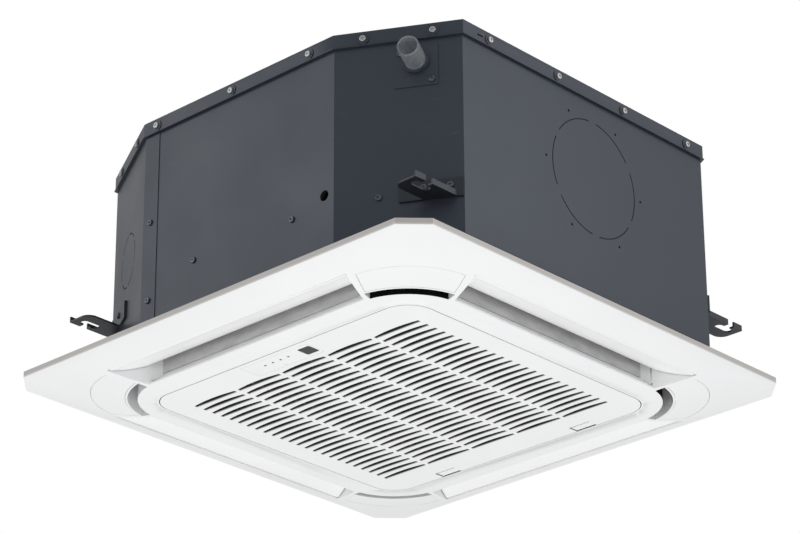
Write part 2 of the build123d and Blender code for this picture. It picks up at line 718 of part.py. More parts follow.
def make_drain_tube():
    """A clear tube with a thinner root that the plate's collar grips."""
    place = spot(NEAR, PUMP_ALONG, DRAIN_Z, WALL_IN + FOAM_WALL)
    root = SHEET + FOAM_WALL + DRAIN_COLLAR
    end = DRAIN_REACH + SHEET + FOAM_WALL
    return place * (tube(DRAIN_ROOT_RADIUS, DRAIN_BORE, 0, root) + tube(DRAIN_RADIUS, DRAIN_BORE, root, end))


def pump_xy(along, inset):
    place = spot(NEAR, along, 0, inset)
    return place.position.X, place.position.Y


def make_inner_hose():
    """From the pump's top, up and over to the back end of the drain tube."""
    x, y = pump_xy(PUMP_ALONG, PUMP_INSET)
    ex, ey = pump_xy(PUMP_ALONG, WALL_IN + FOAM_WALL)
    low = SUMP_Z + HOSE_START
    route = FilletPolyline((x, y, low), (x, y, DRAIN_Z), (ex, ey, DRAIN_Z), radius=HOSE_BEND)
    start = Plane(origin=(x, y, low), z_dir=(0, 0, 1))
    hose = sweep(start * Circle(HOSE_RADIUS), path=route)
    bore = sweep(start * Circle(HOSE_BORE), path=route)
    place = spot(NEAR, PUMP_ALONG, DRAIN_Z, WALL_IN + FOAM_WALL)
    cuff = tube(DRAIN_BORE - FIT_GAP, HOSE_BORE, 0, CUFF_LENGTH)
    return hose - bore + place * cuff


# ---- drain pump and float ----
def make_pump():
    x, y = pump_xy(PUMP_ALONG, PUMP_INSET)
    z = SUMP_Z + PUMP_BOTTOM
    lid = z + PUMP_CHAMBER
    column_low = lid + PUMP_LID
    can_low = column_low + PUMP_COLUMN
    can_high = can_low + PUMP_CAN
    head = tube(PUMP_HEAD_RADIUS, IMPELLER_RADIUS + 2, z, lid, x, y)
    head += tube(PUMP_HEAD_RADIUS, PUMP_LID_BORE, lid, column_low, x, y)
    column = disc(PUMP_COLUMN_RADIUS, column_low, can_low, x, y)
    column -= disc(STEM_RADIUS + 0.3, z, z + PUMP_STEM_BORE, x, y)
    can = disc(PUMP_RADIUS, can_low, can_high, x, y)
    neck = disc(HOSE_BORE, can_high, SUMP_Z + PUMP_SPIGOT_END, x, y)
    outer = PUMP_RADIUS + PUMP_FOOT_REACH
    foot = tube(outer, PUMP_HEAD_RADIUS - 1, PAN_TOP, PAN_TOP + PUMP_FOOT, x, y)
    return head + column + can + neck + foot


def make_impeller():
    x, y = pump_xy(PUMP_ALONG, PUMP_INSET)
    z = SUMP_Z + PUMP_BOTTOM
    wheel = disc(IMPELLER_HUB_RADIUS, z + IMPELLER_LOW, z + IMPELLER_HIGH, x, y)
    wheel += disc(STEM_RADIUS, z + IMPELLER_LOW, z + IMPELLER_STEM, x, y)
    half = VANE_THICKNESS / 2
    for turn in range(VANE_PLATES):
        vane = block(-IMPELLER_RADIUS, IMPELLER_RADIUS, -half, half, z + VANE_LOW, z + VANE_HIGH)
        wheel += Pos(x, y, 0) * Rot(0, 0, 180 / VANE_PLATES * turn) * vane
    return wheel


def make_float_guide():
    x, y = pump_xy(FLOAT_ALONG, FLOAT_INSET)
    low = PAN_TOP + GUIDE_HEAD_LOW
    stem = disc(STEM_RADIUS, SUMP_Z, low, x, y)
    stop = disc(FLOAT_STOP_RADIUS, SUMP_Z, SUMP_Z + FLOAT_STOP, x, y)
    head = disc(GUIDE_HEAD_RADIUS, low, low + GUIDE_HEAD_HEIGHT, x, y)
    middle = low + GUIDE_HEAD_HEIGHT / 2
    arm = Pos(x, y, middle) * Box(GUIDE_ARM_LENGTH, GUIDE_ARM_WIDTH, GUIDE_ARM_HEIGHT)
    return stem + stop + head + arm


def make_float():
    x, y = pump_xy(FLOAT_ALONG, FLOAT_INSET)
    low = SUMP_Z + FLOAT_STOP
    return tube(FLOAT_RADIUS, FLOAT_BORE + 0.1, low, low + FLOAT_HEIGHT, x, y)


# ---- coil ----
def coil_region(outer, z0, z1, open_corner=True):
    """The plan of the coil's outer or inner edge, with the pump's corner cut rounder."""
    shrink = COIL_OUTER - outer
    radius = max(COIL_RADIUS - shrink, 5)
    shape = rounded(outer, outer, radius, z0, z1)
    big = max(COIL_PUMP_RADIUS - shrink, 8)
    centre = outer - big
    corner = block(centre, outer + 1, -outer - 1, -centre, z0 - 1, z1 + 1)
    return shape - (corner - disc(big, z0 - 1, z1 + 1, centre, -centre))


def make_fin_pack():
    top = FOAM_Z
    pack = coil_region(COIL_OUTER, COIL_Z, top) - coil_region(COIL_INNER, COIL_Z - 1, top + 1)
    return pack - block(-COIL_OUTER - 5, -COIL_END, COIL_END, COIL_OUTER + 5, COIL_Z - 1, top + 1)


def coil_end(place_y):
    """Both open ends look alike; one faces -X on the +Y run and one faces +Y on the -X run."""
    middle = (COIL_OUTER + COIL_INNER) / 2
    plate = block(-COIL_END - END_PLATE, -COIL_END, COIL_INNER - 2, COIL_OUTER + 2, COIL_Z, FOAM_Z)
    out = COIL_END + BEND_REACH
    bends = []
    for row in range(TUBE_ROWS):
        z = COIL_Z + TUBE_FIRST + TUBE_PITCH * row
        spots = [middle - TUBE_HALF_SPREAD, middle + TUBE_HALF_SPREAD]
        for y in spots:
            plate -= rod((-out - 1, y, z), (-COIL_END + 1, y, z), TUBE_RADIUS)
        bend = Pos(-out, middle, z) * Torus(TUBE_HALF_SPREAD, TUBE_RADIUS)
        bend = bend & block(-out - 20, -out, middle - 20, middle + 20, z - 5, z + 5)
        for y in spots:
            bend += rod((-out, y, z), (-COIL_END, y, z), TUBE_RADIUS)
        bends.append(bend)
    if place_y:
        return plate, bends
    mirrored = Rot(0, 0, 90) * mirror(plate, about=Plane.YZ)
    return mirrored, [Rot(0, 0, 90) * mirror(b, about=Plane.YZ) for b in bends]


# ---- refrigerant pipes, through the far corner ----
def make_pipe(z, radius, header_z):
    """A stub that runs in through the far corner wall and turns up into the coil's open corner."""
    out = spot(FAR, -PIPE_ALONG, z, -PIPE_REACH).position
    inside = spot(FAR, -PIPE_ALONG, z, PIPE_INSIDE).position
    corners = [(out.X, out.Y, z), (inside.X, inside.Y, z), (inside.X, inside.Y, header_z)]
    route = FilletPolyline(*corners, radius=radius * PIPE_BEND)
    start = Plane(origin=(out.X, out.Y, z), z_dir=(inside.X - out.X, inside.Y - out.Y, 0))
    pipe = sweep(start * Circle(radius), path=route)
    return pipe - sweep(start * Circle(radius - PIPE_WALL), path=route)


def make_pipe_plate():
    """A small plate over the pipe holes, which grips both pipes."""
    middle = (GAS_Z + LIQUID_Z) / 2
    plate = Pos(0, 0, PIPE_PLATE_SHEET / 2) * Box(PIPE_PLATE_WIDTH, PIPE_PLATE_HEIGHT, PIPE_PLATE_SHEET)
    for z, radius in ((GAS_Z, GAS_RADIUS), (LIQUID_Z, LIQUID_RADIUS)):
        plate += disc(radius + PIPE_COLLAR_WALL, 0, PIPE_COLLAR, 0, z - middle)
        plate -= Pos(0, z - middle, 0) * Cylinder(radius, 20)
    return spot(FAR, -PIPE_ALONG, middle, WALL_OUT) * plate


def make_union(z, radius, thread_radius):
    """The brass union at a pipe's end: a hexagon and the male end for a flare nut."""
    outline = RegularPolygon(thread_radius + UNION_SHOULDER, 6, major_radius=False)
    hexagon = Pos(0, 0, -UNION_HEXAGON) * extrude(outline, amount=UNION_HEXAGON)
    union = hexagon + disc(thread_radius, 0, UNION_LENGTH)
    union -= disc(radius, -UNION_HEXAGON - 1, 0)
    union -= disc(radius - PIPE_WALL, -1, UNION_LENGTH + 1)
    return spot(FAR, -PIPE_ALONG, z, -PIPE_REACH) * union


# ---- drain pan ----
def slot_block(z0, z1):
    return block(-PORT_HALF_LENGTH, PORT_HALF_LENGTH, -PORT_OUTER, -PORT_INNER, z0, z1)


def corner_channel(z0, z1):
    """The low passage that feeds a corner slot from the two ports beside it."""
    c = CORNER_SLOT_CENTRE
    low = c + CORNER_SLOT_INNER_RADIUS
    high = c + CORNER_SLOT_OUTER_RADIUS
    band = tube(CORNER_SLOT_OUTER_RADIUS, CORNER_SLOT_INNER_RADIUS, z0, z1, c, -c)
    band = band & block(c, c + 200, -c - 200, -c, z0 - 1, z1 + 1)
    ends = block(PORT_HALF_LENGTH - 1, c + 1, -high, -low, z0, z1)
    side = block(low, high, -c - 1, 1 - PORT_HALF_LENGTH, z0, z1)
    return band + ends + side


def make_drain_pan():
    """The foam tray under the coil, and the base below it with the channels to the corner slots."""
    pan = body_block(WALL_IN + FIT_GAP, PAN_Z, PAN_TOP) - disc(PAN_HOLE_RADIUS, PAN_Z - 1, PAN_TOP + 1)
    groove = coil_region(COIL_OUTER + GROOVE_GAP, COIL_Z, PAN_TOP + 1)
    groove -= coil_region(COIL_INNER - GROOVE_GAP, COIL_Z - 1, PAN_TOP + 2)
    pan -= groove
    for quarter in range(4):
        pan -= turned(slot_block(PAN_Z - 1, PAN_TOP + 1), quarter)
        pan -= turned(corner_channel(PAN_Z - 1, PAN_Z + CHANNEL_HEIGHT), quarter)
    px, py = pump_xy(PUMP_ALONG, PUMP_INSET)
    fx, fy = pump_xy(FLOAT_ALONG, FLOAT_INSET)
    pan -= disc(PUMP_HEAD_RADIUS + 6, SUMP_Z, PAN_TOP + 1, px, py)
    pan -= disc(FLOAT_RADIUS + 4, SUMP_Z, PAN_TOP + 1, fx, fy)
    pan -= prism([(fx, fy - 5), (px, py - 6), (px, py + 6), (fx, fy + 5)], SUMP_Z, PAN_TOP + 1)
    near = COIL_OUTER - 25
    gutter = [(px - 6, py), (px + 6, py), (near, 13 - near), (near - 13, -near)]
    pan -= prism(gutter, COIL_Z, PAN_TOP + 1)
    for sx in (-1, 1):
        for sy in (-1, 1):
            pan -= disc(PANEL_SCREW_RADIUS, PAN_Z - 1, BODY_Z + 16, sx * PANEL_SCREW_XY, sy * PANEL_SCREW_XY)
    pan = clear_screws(pan)
    level = PAN_Z + CHANNEL_HEIGHT
    reach = BODY_SIDE
    base = pan & block(-reach, reach, -reach, reach, PAN_Z - 1, level)
    tray = pan & block(-reach, reach, -reach, reach, level, PAN_TOP + 1)
    return all_parts(tray, PAN_Z - 1, PAN_TOP + 1), all_parts(base, PAN_Z - 1, PAN_TOP + 1)


# ---- fan ----
def make_bell_mouth():
    flange = tube(BELL_FLANGE_RADIUS, BELL_RADIUS - 1, BELL_Z, PAN_Z)
    profile = make_face([
        Line((THROAT_RADIUS, 0, THROAT_TOP), (THROAT_RADIUS, 0, PAN_TOP - 6)),
        ThreePointArc((THROAT_RADIUS, 0, PAN_TOP - 6), (THROAT_RADIUS + 12, 0, PAN_Z + 10),
                      (BELL_RADIUS, 0, BELL_Z)),
        Line((BELL_RADIUS, 0, BELL_Z), (BELL_RADIUS + 3, 0, BELL_Z)),
        Line((BELL_RADIUS + 3, 0, BELL_Z), (BELL_RADIUS + 3, 0, PAN_Z)),
        ThreePointArc((BELL_RADIUS + 3, 0, PAN_Z), (THROAT_RADIUS + 15, 0, PAN_Z + 12.5),
                      (THROAT_RADIUS + BELL_SHEET, 0, PAN_TOP - 4)),
        Line((THROAT_RADIUS + BELL_SHEET, 0, PAN_TOP - 4), (THROAT_RADIUS + BELL_SHEET, 0, THROAT_TOP)),
        Line((THROAT_RADIUS + BELL_SHEET, 0, THROAT_TOP), (THROAT_RADIUS, 0, THROAT_TOP)),
    ])
    return mitred(flange + revolve(profile, axis=Axis.Z))


def make_fan():
    """The hub with its plate, the blades, and the shroud that joins the blades' lower edges."""
    edge_z = SHROUD_Z + 36
    shroud = make_face([
        Line((FAN_EYE_RADIUS, 0, SHROUD_Z), (FAN_EYE_RADIUS, 0, SHROUD_Z + 6)),
        ThreePointArc((FAN_EYE_RADIUS, 0, SHROUD_Z + 6), (FAN_EYE_RADIUS + 9, 0, SHROUD_Z + 26),
                      (FAN_RADIUS, 0, edge_z)),
        Line((FAN_RADIUS, 0, edge_z), (FAN_RADIUS, 0, edge_z - FAN_SHEET)),
        ThreePointArc((FAN_RADIUS, 0, edge_z - FAN_SHEET), (FAN_EYE_RADIUS + 11, 0, SHROUD_Z + 24.5),
                      (FAN_EYE_RADIUS + FAN_SHEET, 0, SHROUD_Z + 6)),
        Line((FAN_EYE_RADIUS + FAN_SHEET, 0, SHROUD_Z + 6), (FAN_EYE_RADIUS + FAN_SHEET, 0, SHROUD_Z)),
        Line((FAN_EYE_RADIUS + FAN_SHEET, 0, SHROUD_Z), (FAN_EYE_RADIUS, 0, SHROUD_Z)),
    ])
    ring = revolve(shroud, axis=Axis.Z)
    plate = spun([(SHAFT_RADIUS, HUB_Z), (DOME_HUB_RADIUS - 12, HUB_Z), (DOME_HUB_RADIUS - 2, HUB_Z + 9),
                  (DOME_HUB_RADIUS + 5, FAN_TOP - FAN_SHEET), (FAN_RADIUS, FAN_TOP - FAN_SHEET),
                  (FAN_RADIUS, FAN_TOP), (DOME_HUB_RADIUS + 3, FAN_TOP),
                  (DOME_HUB_RADIUS - 4, HUB_Z + 11), (DOME_HUB_RADIUS - 13, HUB_Z + FAN_SHEET + 0.6),
                  (SHAFT_RADIUS, HUB_Z + FAN_SHEET + 0.6)])
    hub = tube(HUB_RADIUS, SHAFT_RADIUS, HUB_Z - 8, HUB_Z + 10)
    inner = FAN_EYE_RADIUS - 24
    region = spun([(inner, SHROUD_Z + 27), (FAN_EYE_RADIUS + 4, SHROUD_Z + 24),
                   (FAN_EYE_RADIUS + 10, SHROUD_Z + 25.5), (FAN_RADIUS, edge_z - 1),
                   (FAN_RADIUS, FAN_TOP - 1), (inner, FAN_TOP - 1)])
    blades = []
    for i in range(FAN_BLADES):
        arc = ThreePointArc((88, -24, SHROUD_Z), (128, -6, SHROUD_Z), (152, 34, SHROUD_Z))
        blade = extrude(trace(arc, BLADE_THICKNESS), amount=FAN_TOP - SHROUD_Z, dir=(0, 0, 1))
        blade = ((blade & region) - ring - plate).solids().sort_by(SortBy.VOLUME)[-1]
        blades.append(Rot(0, 0, 360 / FAN_BLADES * i) * blade)
    return plate + hub, group(blades), ring


def make_fan_nut():
    nut = extrude(Pos(0, 0, SHAFT_BOTTOM + 2) * RegularPolygon(8.0, 6, major_radius=False), amount=6)
    washer = disc(11, SHAFT_BOTTOM + 8, HUB_Z - 8)
    return nut + washer - disc(SHAFT_RADIUS, SHAFT_BOTTOM - 1, HUB_Z)


def make_motor_shaft():
    core = disc(28, MOTOR_Z + 12, MOTOR_TOP - 12)
    return disc(SHAFT_RADIUS, SHAFT_BOTTOM, MOTOR_TOP - 6) + core


def make_motor_case():
    case = disc(MOTOR_RADIUS, MOTOR_Z, MOTOR_TOP)
    case = fillet(case.edges().group_by(Axis.Z)[0], 5)
    case -= disc(30, MOTOR_Z + 9, MOTOR_TOP - 9)
    case -= disc(BEARING_OUTER, MOTOR_Z + 1, MOTOR_TOP - 1)
    case -= disc(SHAFT_RADIUS + 1, MOTOR_Z - 1, MOTOR_Z + 2)
    for turn in range(4):
        ear = block(MOTOR_RADIUS - 3, BRACKET_RADIUS - 1, -9, 9, MOTOR_TOP - 4, MOTOR_TOP)
        ear -= disc(MOUNT_BOLT_RADIUS, MOTOR_TOP - 5, MOTOR_TOP + 1, BRACKET_RADIUS - 10, 0)
        case += Rot(0, 0, 45 + 90 * turn) * ear
    return case


def make_bearings():
    rings = [tube(BEARING_OUTER, SHAFT_RADIUS + RUNNING_GAP, z, z + BEARING_WIDTH)
             for z in (MOTOR_Z + 1, MOTOR_TOP - 1 - BEARING_WIDTH)]
    return group(rings)


def bracket_floor():
    return TOP_Z - TOP_SHEET


def make_motor_mounts():
    top = bracket_floor() - BRACKET_SHEET
    mounts = []
    for turn in range(4):
        mount = tube(MOUNT_RADIUS, MOUNT_BOLT_RADIUS, MOTOR_TOP, top, BRACKET_RADIUS - 10, 0)
        mounts.append(Rot(0, 0, 45 + 90 * turn) * mount)
    return group(mounts)


def make_motor_bracket():
    top = bracket_floor()
    ring = tube(BRACKET_RADIUS, 44, top - BRACKET_SHEET, top)
    for turn in range(4):
        bolt = disc(MOUNT_BOLT_RADIUS - FIT_GAP, MOTOR_TOP - 6, top - BRACKET_SHEET, BRACKET_RADIUS - 10, 0)
        head = disc(2 * MOUNT_BOLT_RADIUS, MOTOR_TOP - 10, MOTOR_TOP - 4 - FIT_GAP, BRACKET_RADIUS - 10, 0)
        ring += Rot(0, 0, 45 + 90 * turn) * (bolt + head)
    return ring


# ---- control box ----
def make_control_box():
    y0 = CONTROL_CENTRE_Y - CONTROL_Y / 2
    y1 = CONTROL_CENTRE_Y + CONTROL_Y / 2
    z0 = BELL_Z - CONTROL_HEIGHT
    half = CONTROL_X / 2
    w = CONTROL_WALL
    box = block(-half, half, y0, y1, z0, BELL_Z)
    return box - block(-half + w, half - w, y0 + w, y1 - w, z0 - 1, BELL_Z - w)


def make_control_cover():
    z0 = BELL_Z - CONTROL_HEIGHT
    half = CONTROL_X / 2
    y0 = CONTROL_CENTRE_Y - CONTROL_Y / 2
    y1 = CONTROL_CENTRE_Y + CONTROL_Y / 2
    return block(-half, half, y0, y1, z0 - CONTROL_WALL, z0)


def make_circuit_board():
    half = CONTROL_X / 2 - CONTROL_WALL - 3
    y0 = CONTROL_CENTRE_Y - CONTROL_Y / 2 + CONTROL_WALL + 2
    y1 = CONTROL_CENTRE_Y + CONTROL_Y / 2 - CONTROL_WALL - 2
    z = BELL_Z - CONTROL_WALL
    board = block(-half, 30, y0, y1, z - 6, z - 4.4)
    for x in (-80, -55, -20, 10):
        board += disc(4, z - 14, z - 6, x, CONTROL_CENTRE_Y + 8)
    board += block(-45, -30, CONTROL_CENTRE_Y - 12, CONTROL_CENTRE_Y + 2, z - 12, z - 6)
    for x in (-half + 5, 20):
        board += disc(2.5, z - 4.4, z, x, CONTROL_CENTRE_Y - 12)
    return board


def make_terminal_block():
    z = BELL_Z - CONTROL_WALL
    body = block(40, 90, CONTROL_CENTRE_Y - 10, CONTROL_CENTRE_Y + 10, z - 12, z)
    for i in range(6):
        body -= disc(2.5, z - 13, z - 6, 46 + 7.6 * i, CONTROL_CENTRE_Y)
    return body


# ---- panel ----
def dome(rise):
    """The space over the panel's underside, which falls from the outer edge to the flat middle."""
    sections = []
    for i in range(DOME_BANDS + 1):
        t = i / DOME_BANDS
        side = DOME_FLAT_SIDE + (PANEL_SIDE - DOME_FLAT_SIDE) * t
        z = rise + EDGE_Z * t ** DOME_POWER
        if i == DOME_BANDS:
            sections.append(Pos(0, 0, z) * edge_face(0))
        else:
            radius = DOME_CORNER_RADIUS * min(0.37 + 1.6 * t, 1, 1.5 - 0.8 * t * t)
            sections.append(Pos(0, 0, z) * RectangleRounded(side, side, radius))
    return loft(sections, ruled=True)


def edge_face(inset):
    half = PANEL_SIDE / 2 - inset
    cut = PANEL_CORNER_CUT - inset * (2 - math.sqrt(2))
    c = half - cut
    points = [(c, -half), (half, -c), (half, c), (c, half), (-c, half), (-half, c), (-half, -c), (-c, -half)]
    return make_face(Polyline(points, close=True))


def outlet_plan(grow, z0, z1):
    """The outlet's trapezoid in plan, with rounded inner corners."""
    u0 = PORT_INNER - grow
    u1 = OUTLET_OUTER + 20
    end0 = OUTLET_HALF_LENGTH - (OUTLET_OUTER - u0) * OUTLET_END_SLANT + grow
    end1 = OUTLET_HALF_LENGTH + 20 * OUTLET_END_SLANT + grow
    shape = prism([(-end0, -u0), (end0, -u0), (end1, -u1), (-end1, -u1)], z0, z1)
    inner = shape.edges().filter_by(Axis.Z).group_by(Axis.Y)[-1]
    return fillet(inner, OUTLET_CORNER_RADIUS + grow)


def duct_section(grow, z_low, z_high):
    lip = OUTLET_LIP + grow
    outer = OUTLET_OUTER + grow
    return [(OUTLET_INNER - grow, z_low), (outer, z_low), (outer, LOUVRE_AXIS_Z + 5),
            (PORT_OUTER + grow, z_high), (PORT_INNER - grow, z_high), (PORT_INNER - grow, lip + 4),
            (OUTLET_INNER - grow, lip)]


def duct(grow, z_low, z_high):
    """The air way of the -Y outlet, from under the panel up to its back flange."""
    length = OUTLET_HALF_LENGTH + 20
    return side_prism(duct_section(grow, z_low, z_high), -length, length) & outlet_plan(grow, z_low, z_high)


def corner_wedge(apex, half_angle, z0, z1):
    """A wedge about the near corner's diagonal, with its tip at (apex, -apex)."""
    reach = 320
    tips = [(apex, -apex)]
    for way in (-1, 1):
        angle = -math.pi / 4 + way * math.radians(half_angle)
        tips.append((apex + reach * math.cos(angle), -apex + reach * math.sin(angle)))
    return prism(tips, z0, z1)


def corner_slot(grow, z0, z1):
    """The curved slot at the near corner; the tip of its wedge moves in as the slot grows."""
    c = CORNER_SLOT_CENTRE
    band = tube(CORNER_SLOT_OUTER_RADIUS + grow, CORNER_SLOT_INNER_RADIUS - grow, z0, z1, c, -c)
    shift = grow / math.sin(math.radians(CORNER_SLOT_HALF_ANGLE)) / math.sqrt(2)
    return band & corner_wedge(c - shift, CORNER_SLOT_HALF_ANGLE, z0 - 1, z1 + 1)


def lid_prism(gap, z0, z1):
    """A corner lid's outline: between the corner slot and an outer arc, cut off at both ends."""
    c = LID_CENTRE
    s = CORNER_SLOT_CENTRE
    disc_out = disc(LID_RADIUS + gap, z0, z1, c, -c)
    disc_in = disc(CORNER_SLOT_OUTER_RADIUS + DUCT_WALL + 1 - gap, z0 - 1, z1 + 1, s, -s)
    wedge = corner_wedge(LID_APEX - gap * 2, LID_HALF_ANGLE, z0 - 1, z1 + 1)
    return (disc_out & wedge) - disc_in


def skin(rise, thickness):
    return dome(rise) - dome(rise + thickness)


def inner_area(z0, z1):
    """The plan inside the line through the middle of the corner slots and the outlets."""
    half = CORNER_SLOT_CENTRE + (CORNER_SLOT_INNER_RADIUS + CORNER_SLOT_OUTER_RADIUS) / 2
    return rounded(half, half, half - CORNER_SLOT_CENTRE, z0, z1)


def mitred(shape):
    """The four sides of a square moulding, which meet on its diagonals."""
    reach = PANEL_SIDE
    wedge = prism([(0, 0), (reach, -reach), (-reach, -reach)], -1, TOP_Z)
    return group([shape & turned(wedge, quarter) for quarter in range(4)])


def middles(shape):
    """The parts of a square moulding beside the long walls of its air ways."""
    strip = block(-PORT_HALF_LENGTH, PORT_HALF_LENGTH, -PANEL_SIDE, -PORT_HALF_LENGTH, -1, TOP_Z)
    return [shape & turned(strip, quarter) for quarter in range(4)]


def corners(shape):
    """The corner parts of a square moulding, past the ends of its air ways."""
    square = block(PORT_HALF_LENGTH, PANEL_SIDE, -PANEL_SIDE, -PORT_HALF_LENGTH, -1, TOP_Z)
    return [shape & turned(square, quarter) for quarter in range(4)]


def half_corners(shape):
    """The corner parts of a square moulding, cut on its diagonals."""
    near = PORT_HALF_LENGTH
    far = PANEL_SIDE
    first = prism([(near, -near), (near, -far), (far, -far)], -1, TOP_Z)
    second = prism([(near, -near), (far, -far), (far, -near)], -1, TOP_Z)
    return [shape & turned(half, quarter) for quarter in range(4) for half in (first, second)]


def inside_parts(shape):
    """The ring of a square moulding inside its outlets, in eight parts."""
    return group(middles(shape) + corners(shape))


def outside_parts(shape):
    """The rest of a square moulding, outside the middle line of its outlets."""
    return group(middles(shape) + half_corners(shape))


def all_parts(shape, z0, z1):
    area = inner_area(z0, z1)
    return group([inside_parts(shape & area), outside_parts(shape - area)])


def make_panel():
    """The panel's face with its rim, and the inner and outer walls that stand on its back."""
    full = dome(0)
    over = extrude(Pos(0, 0, EDGE_Z) * edge_face(0), amount=PANEL_DEPTH - EDGE_Z)
    space = full + over
    shell = full - dome(PANEL_SKIN)
    rim = extrude(Pos(0, 0, EDGE_Z) * edge_face(0), amount=EDGE_HEIGHT)
    rim -= extrude(Pos(0, 0, EDGE_Z - 1) * edge_face(EDGE_WALL), amount=EDGE_HEIGHT + 2)
    frame = shell + rim
    wall = OPENING_HALF + OPENING_WALL
    frame += rounded(wall, wall, OPENING_RADIUS + OPENING_WALL, 0, PANEL_DEPTH)
    flange_half = FLANGE_SIDE / 2
    cut = flange_half - FLANGE_CORNER_CUT
    ring = [(cut, -flange_half), (flange_half, -cut), (flange_half, cut), (cut, flange_half),
            (-cut, flange_half), (-flange_half, cut), (-flange_half, -cut), (-cut, -flange_half)]
    frame += prism(ring, FLANGE_Z, PANEL_DEPTH)
    walls = duct(DUCT_WALL, 0, FLANGE_Z) & space
    void = duct(0, -5, FLANGE_Z)
    port = slot_block(FLANGE_Z - 1, PANEL_DEPTH + 1)
    corner_wall_band = corner_slot(DUCT_WALL, 0, FLANGE_Z) & space
    slot_void = corner_slot(0, -5, PANEL_DEPTH + 1)
    lid = lid_prism(LID_GAP, -5, EDGE_Z + 5)
    for quarter in range(4):
        frame += turned(walls + corner_wall_band, quarter)
    for quarter in range(4):
        frame = frame - turned(void, quarter) - turned(port, quarter) - turned(slot_void, quarter)
        frame -= turned(lid & skin(-0.5, PANEL_SKIN + 0.5), quarter)
        frame += turned(lid_ledge(), quarter)
        frame += turned(bearing_bosses(), quarter)
        frame -= turned(bearing_bores(), quarter)
    frame -= rounded(OPENING_HALF, OPENING_HALF, OPENING_RADIUS, -5, PANEL_DEPTH + 1)
    gusset = rounded(wall, wall, OPENING_RADIUS, FLANGE_Z, PANEL_DEPTH)
    inner = PANEL_SCREW_XY - 15
    frame += gusset - rounded(inner, wall + 9, 5, 0, 99) - rounded(wall + 9, inner, 5, 0, 99)
    for sx in (-1, 1):
        for sy in (-1, 1):
            frame -= disc(PANEL_SCREW_RADIUS + 0.3, 0, 99, sx * PANEL_SCREW_XY, sy * PANEL_SCREW_XY)
    frame += hinge_rods(OPENING_HALF, OPENING_HALF + HINGE_BOSS_LENGTH, HINGE_BOSS_RADIUS) & space
    boss_end = OPENING_HALF + HINGE_BOSS_LENGTH
    frame -= hinge_rods(OPENING_HALF - 1, boss_end - 1, HINGE_PIN_RADIUS + RUNNING_GAP)
    for sx in (-1, 1):
        x = sx * LATCH_X
        half = LATCH_WIDTH / 2
        deep = OPENING_HALF + OPENING_WALL + 0.6
        frame -= block(x - half, x + half, OPENING_HALF - 1, deep,
                       LATCH_FLOOR - LATCH_SIDE_GAP, GRILLE_PLATE + FIT_GAP + LATCH_SIDE_GAP)
    step = OUTLET_LIP + 4
    inner = frame & inner_area(-1, PANEL_DEPTH + 1)
    outer = frame - inner_area(-1, PANEL_DEPTH + 1)
    front = shell + rim
    for quarter in range(4):
        front += turned(lid_ledge(), quarter)
    reach = PANEL_SIDE
    face = [inner & block(-reach, reach, -reach, reach, -1, step), mitred(outer & front)]
    guide = inner & block(-reach, reach, -reach, reach, step, PANEL_DEPTH + 1)
    return group(face), inside_parts(guide), outside_parts(outer - front)


def lid_ledge():
    """A narrow shelf over the outer edge of a lid, which the lid is pressed against."""
    band = tube(LID_RADIUS + 4, LID_RADIUS - 4, 0, EDGE_Z, LID_CENTRE, -LID_CENTRE)
    return band & corner_wedge(LID_CENTRE, 24, -1, EDGE_Z + 5) & skin(PANEL_SKIN, PANEL_SKIN)


def bearing_bosses():
    """Both ends of an outlet carry a boss for the louvre's pins."""
    boss = louvre_rod(louvre_pin_end() + 1, BEARING_RADIUS)
    middle = OUTLET_HALF_LENGTH - (OUTLET_OUTER - LOUVRE_AXIS_U) * OUTLET_END_SLANT + DUCT_WALL / 2
    return boss - block(-middle, middle, -OUTLET_OUTER - 9, -OUTLET_INNER, 0, EDGE_TOP)


def bearing_bores():
    return louvre_rod(louvre_pin_end() + 2, PIN_RADIUS + RUNNING_GAP)


def make_corner_lids():
    lids = []
    for quarter in range(4):
        lid = lid_prism(0, 0, EDGE_Z + 5) & skin(0, PANEL_SKIN)
        lids.append(turned(lid, quarter))
    return group(lids)


def make_duct_liners():
    """Thin grey felt on the inner wall of each air way."""
    u = PORT_INNER
    z0 = OUTLET_LIP + 5
    sheet = block(-LINER_HALF_LENGTH, LINER_HALF_LENGTH, -u - LINER_THICKNESS, -u, z0, FLANGE_Z)
    return group([turned(sheet, quarter) for quarter in range(4)])


def make_panel_seal():
    half = FLANGE_SIDE / 2
    seal = body_block(WALL_IN + 2, PANEL_DEPTH, BODY_Z) & rounded(half, half, 40, PANEL_DEPTH, BODY_Z)
    wall = OPENING_HALF + OPENING_WALL
    seal -= rounded(wall, wall, OPENING_RADIUS, PANEL_DEPTH - 1, BODY_Z + 1)
    for quarter in range(4):
        seal -= turned(slot_block(PANEL_DEPTH - 1, BODY_Z + 1), quarter)
        seal -= turned(corner_slot(0.5, PANEL_DEPTH - 1, BODY_Z + 1), quarter)
    return all_parts(seal, PANEL_DEPTH - 1, BODY_Z + 1)


def make_panel_screws():
    screws = []
    for sx in (-1, 1):
        for sy in (-1, 1):
            place = Pos(sx * PANEL_SCREW_XY, sy * PANEL_SCREW_XY, FLANGE_Z) * Rot(180, 0, 0)
            screws.append(place * screw(5.0, PANEL_SCREW_RADIUS, PANEL_SCREW_LENGTH))
    return group(screws)


# ---- louvres ----
def louvre_end(u):
    """Half the louvre's length at a distance u from the panel's middle."""
    return OUTLET_HALF_LENGTH - (OUTLET_OUTER - u) * OUTLET_END_SLANT - LOUVRE_END_GAP


def louvre_rod(half, radius):
    """A round bar on the louvre's axis."""
    return rod((-half, -LOUVRE_AXIS_U, LOUVRE_AXIS_Z), (half, -LOUVRE_AXIS_U, LOUVRE_AXIS_Z), radius)


def louvre_pin_end():
    return louvre_end(LOUVRE_AXIS_U) + PIN_LENGTH


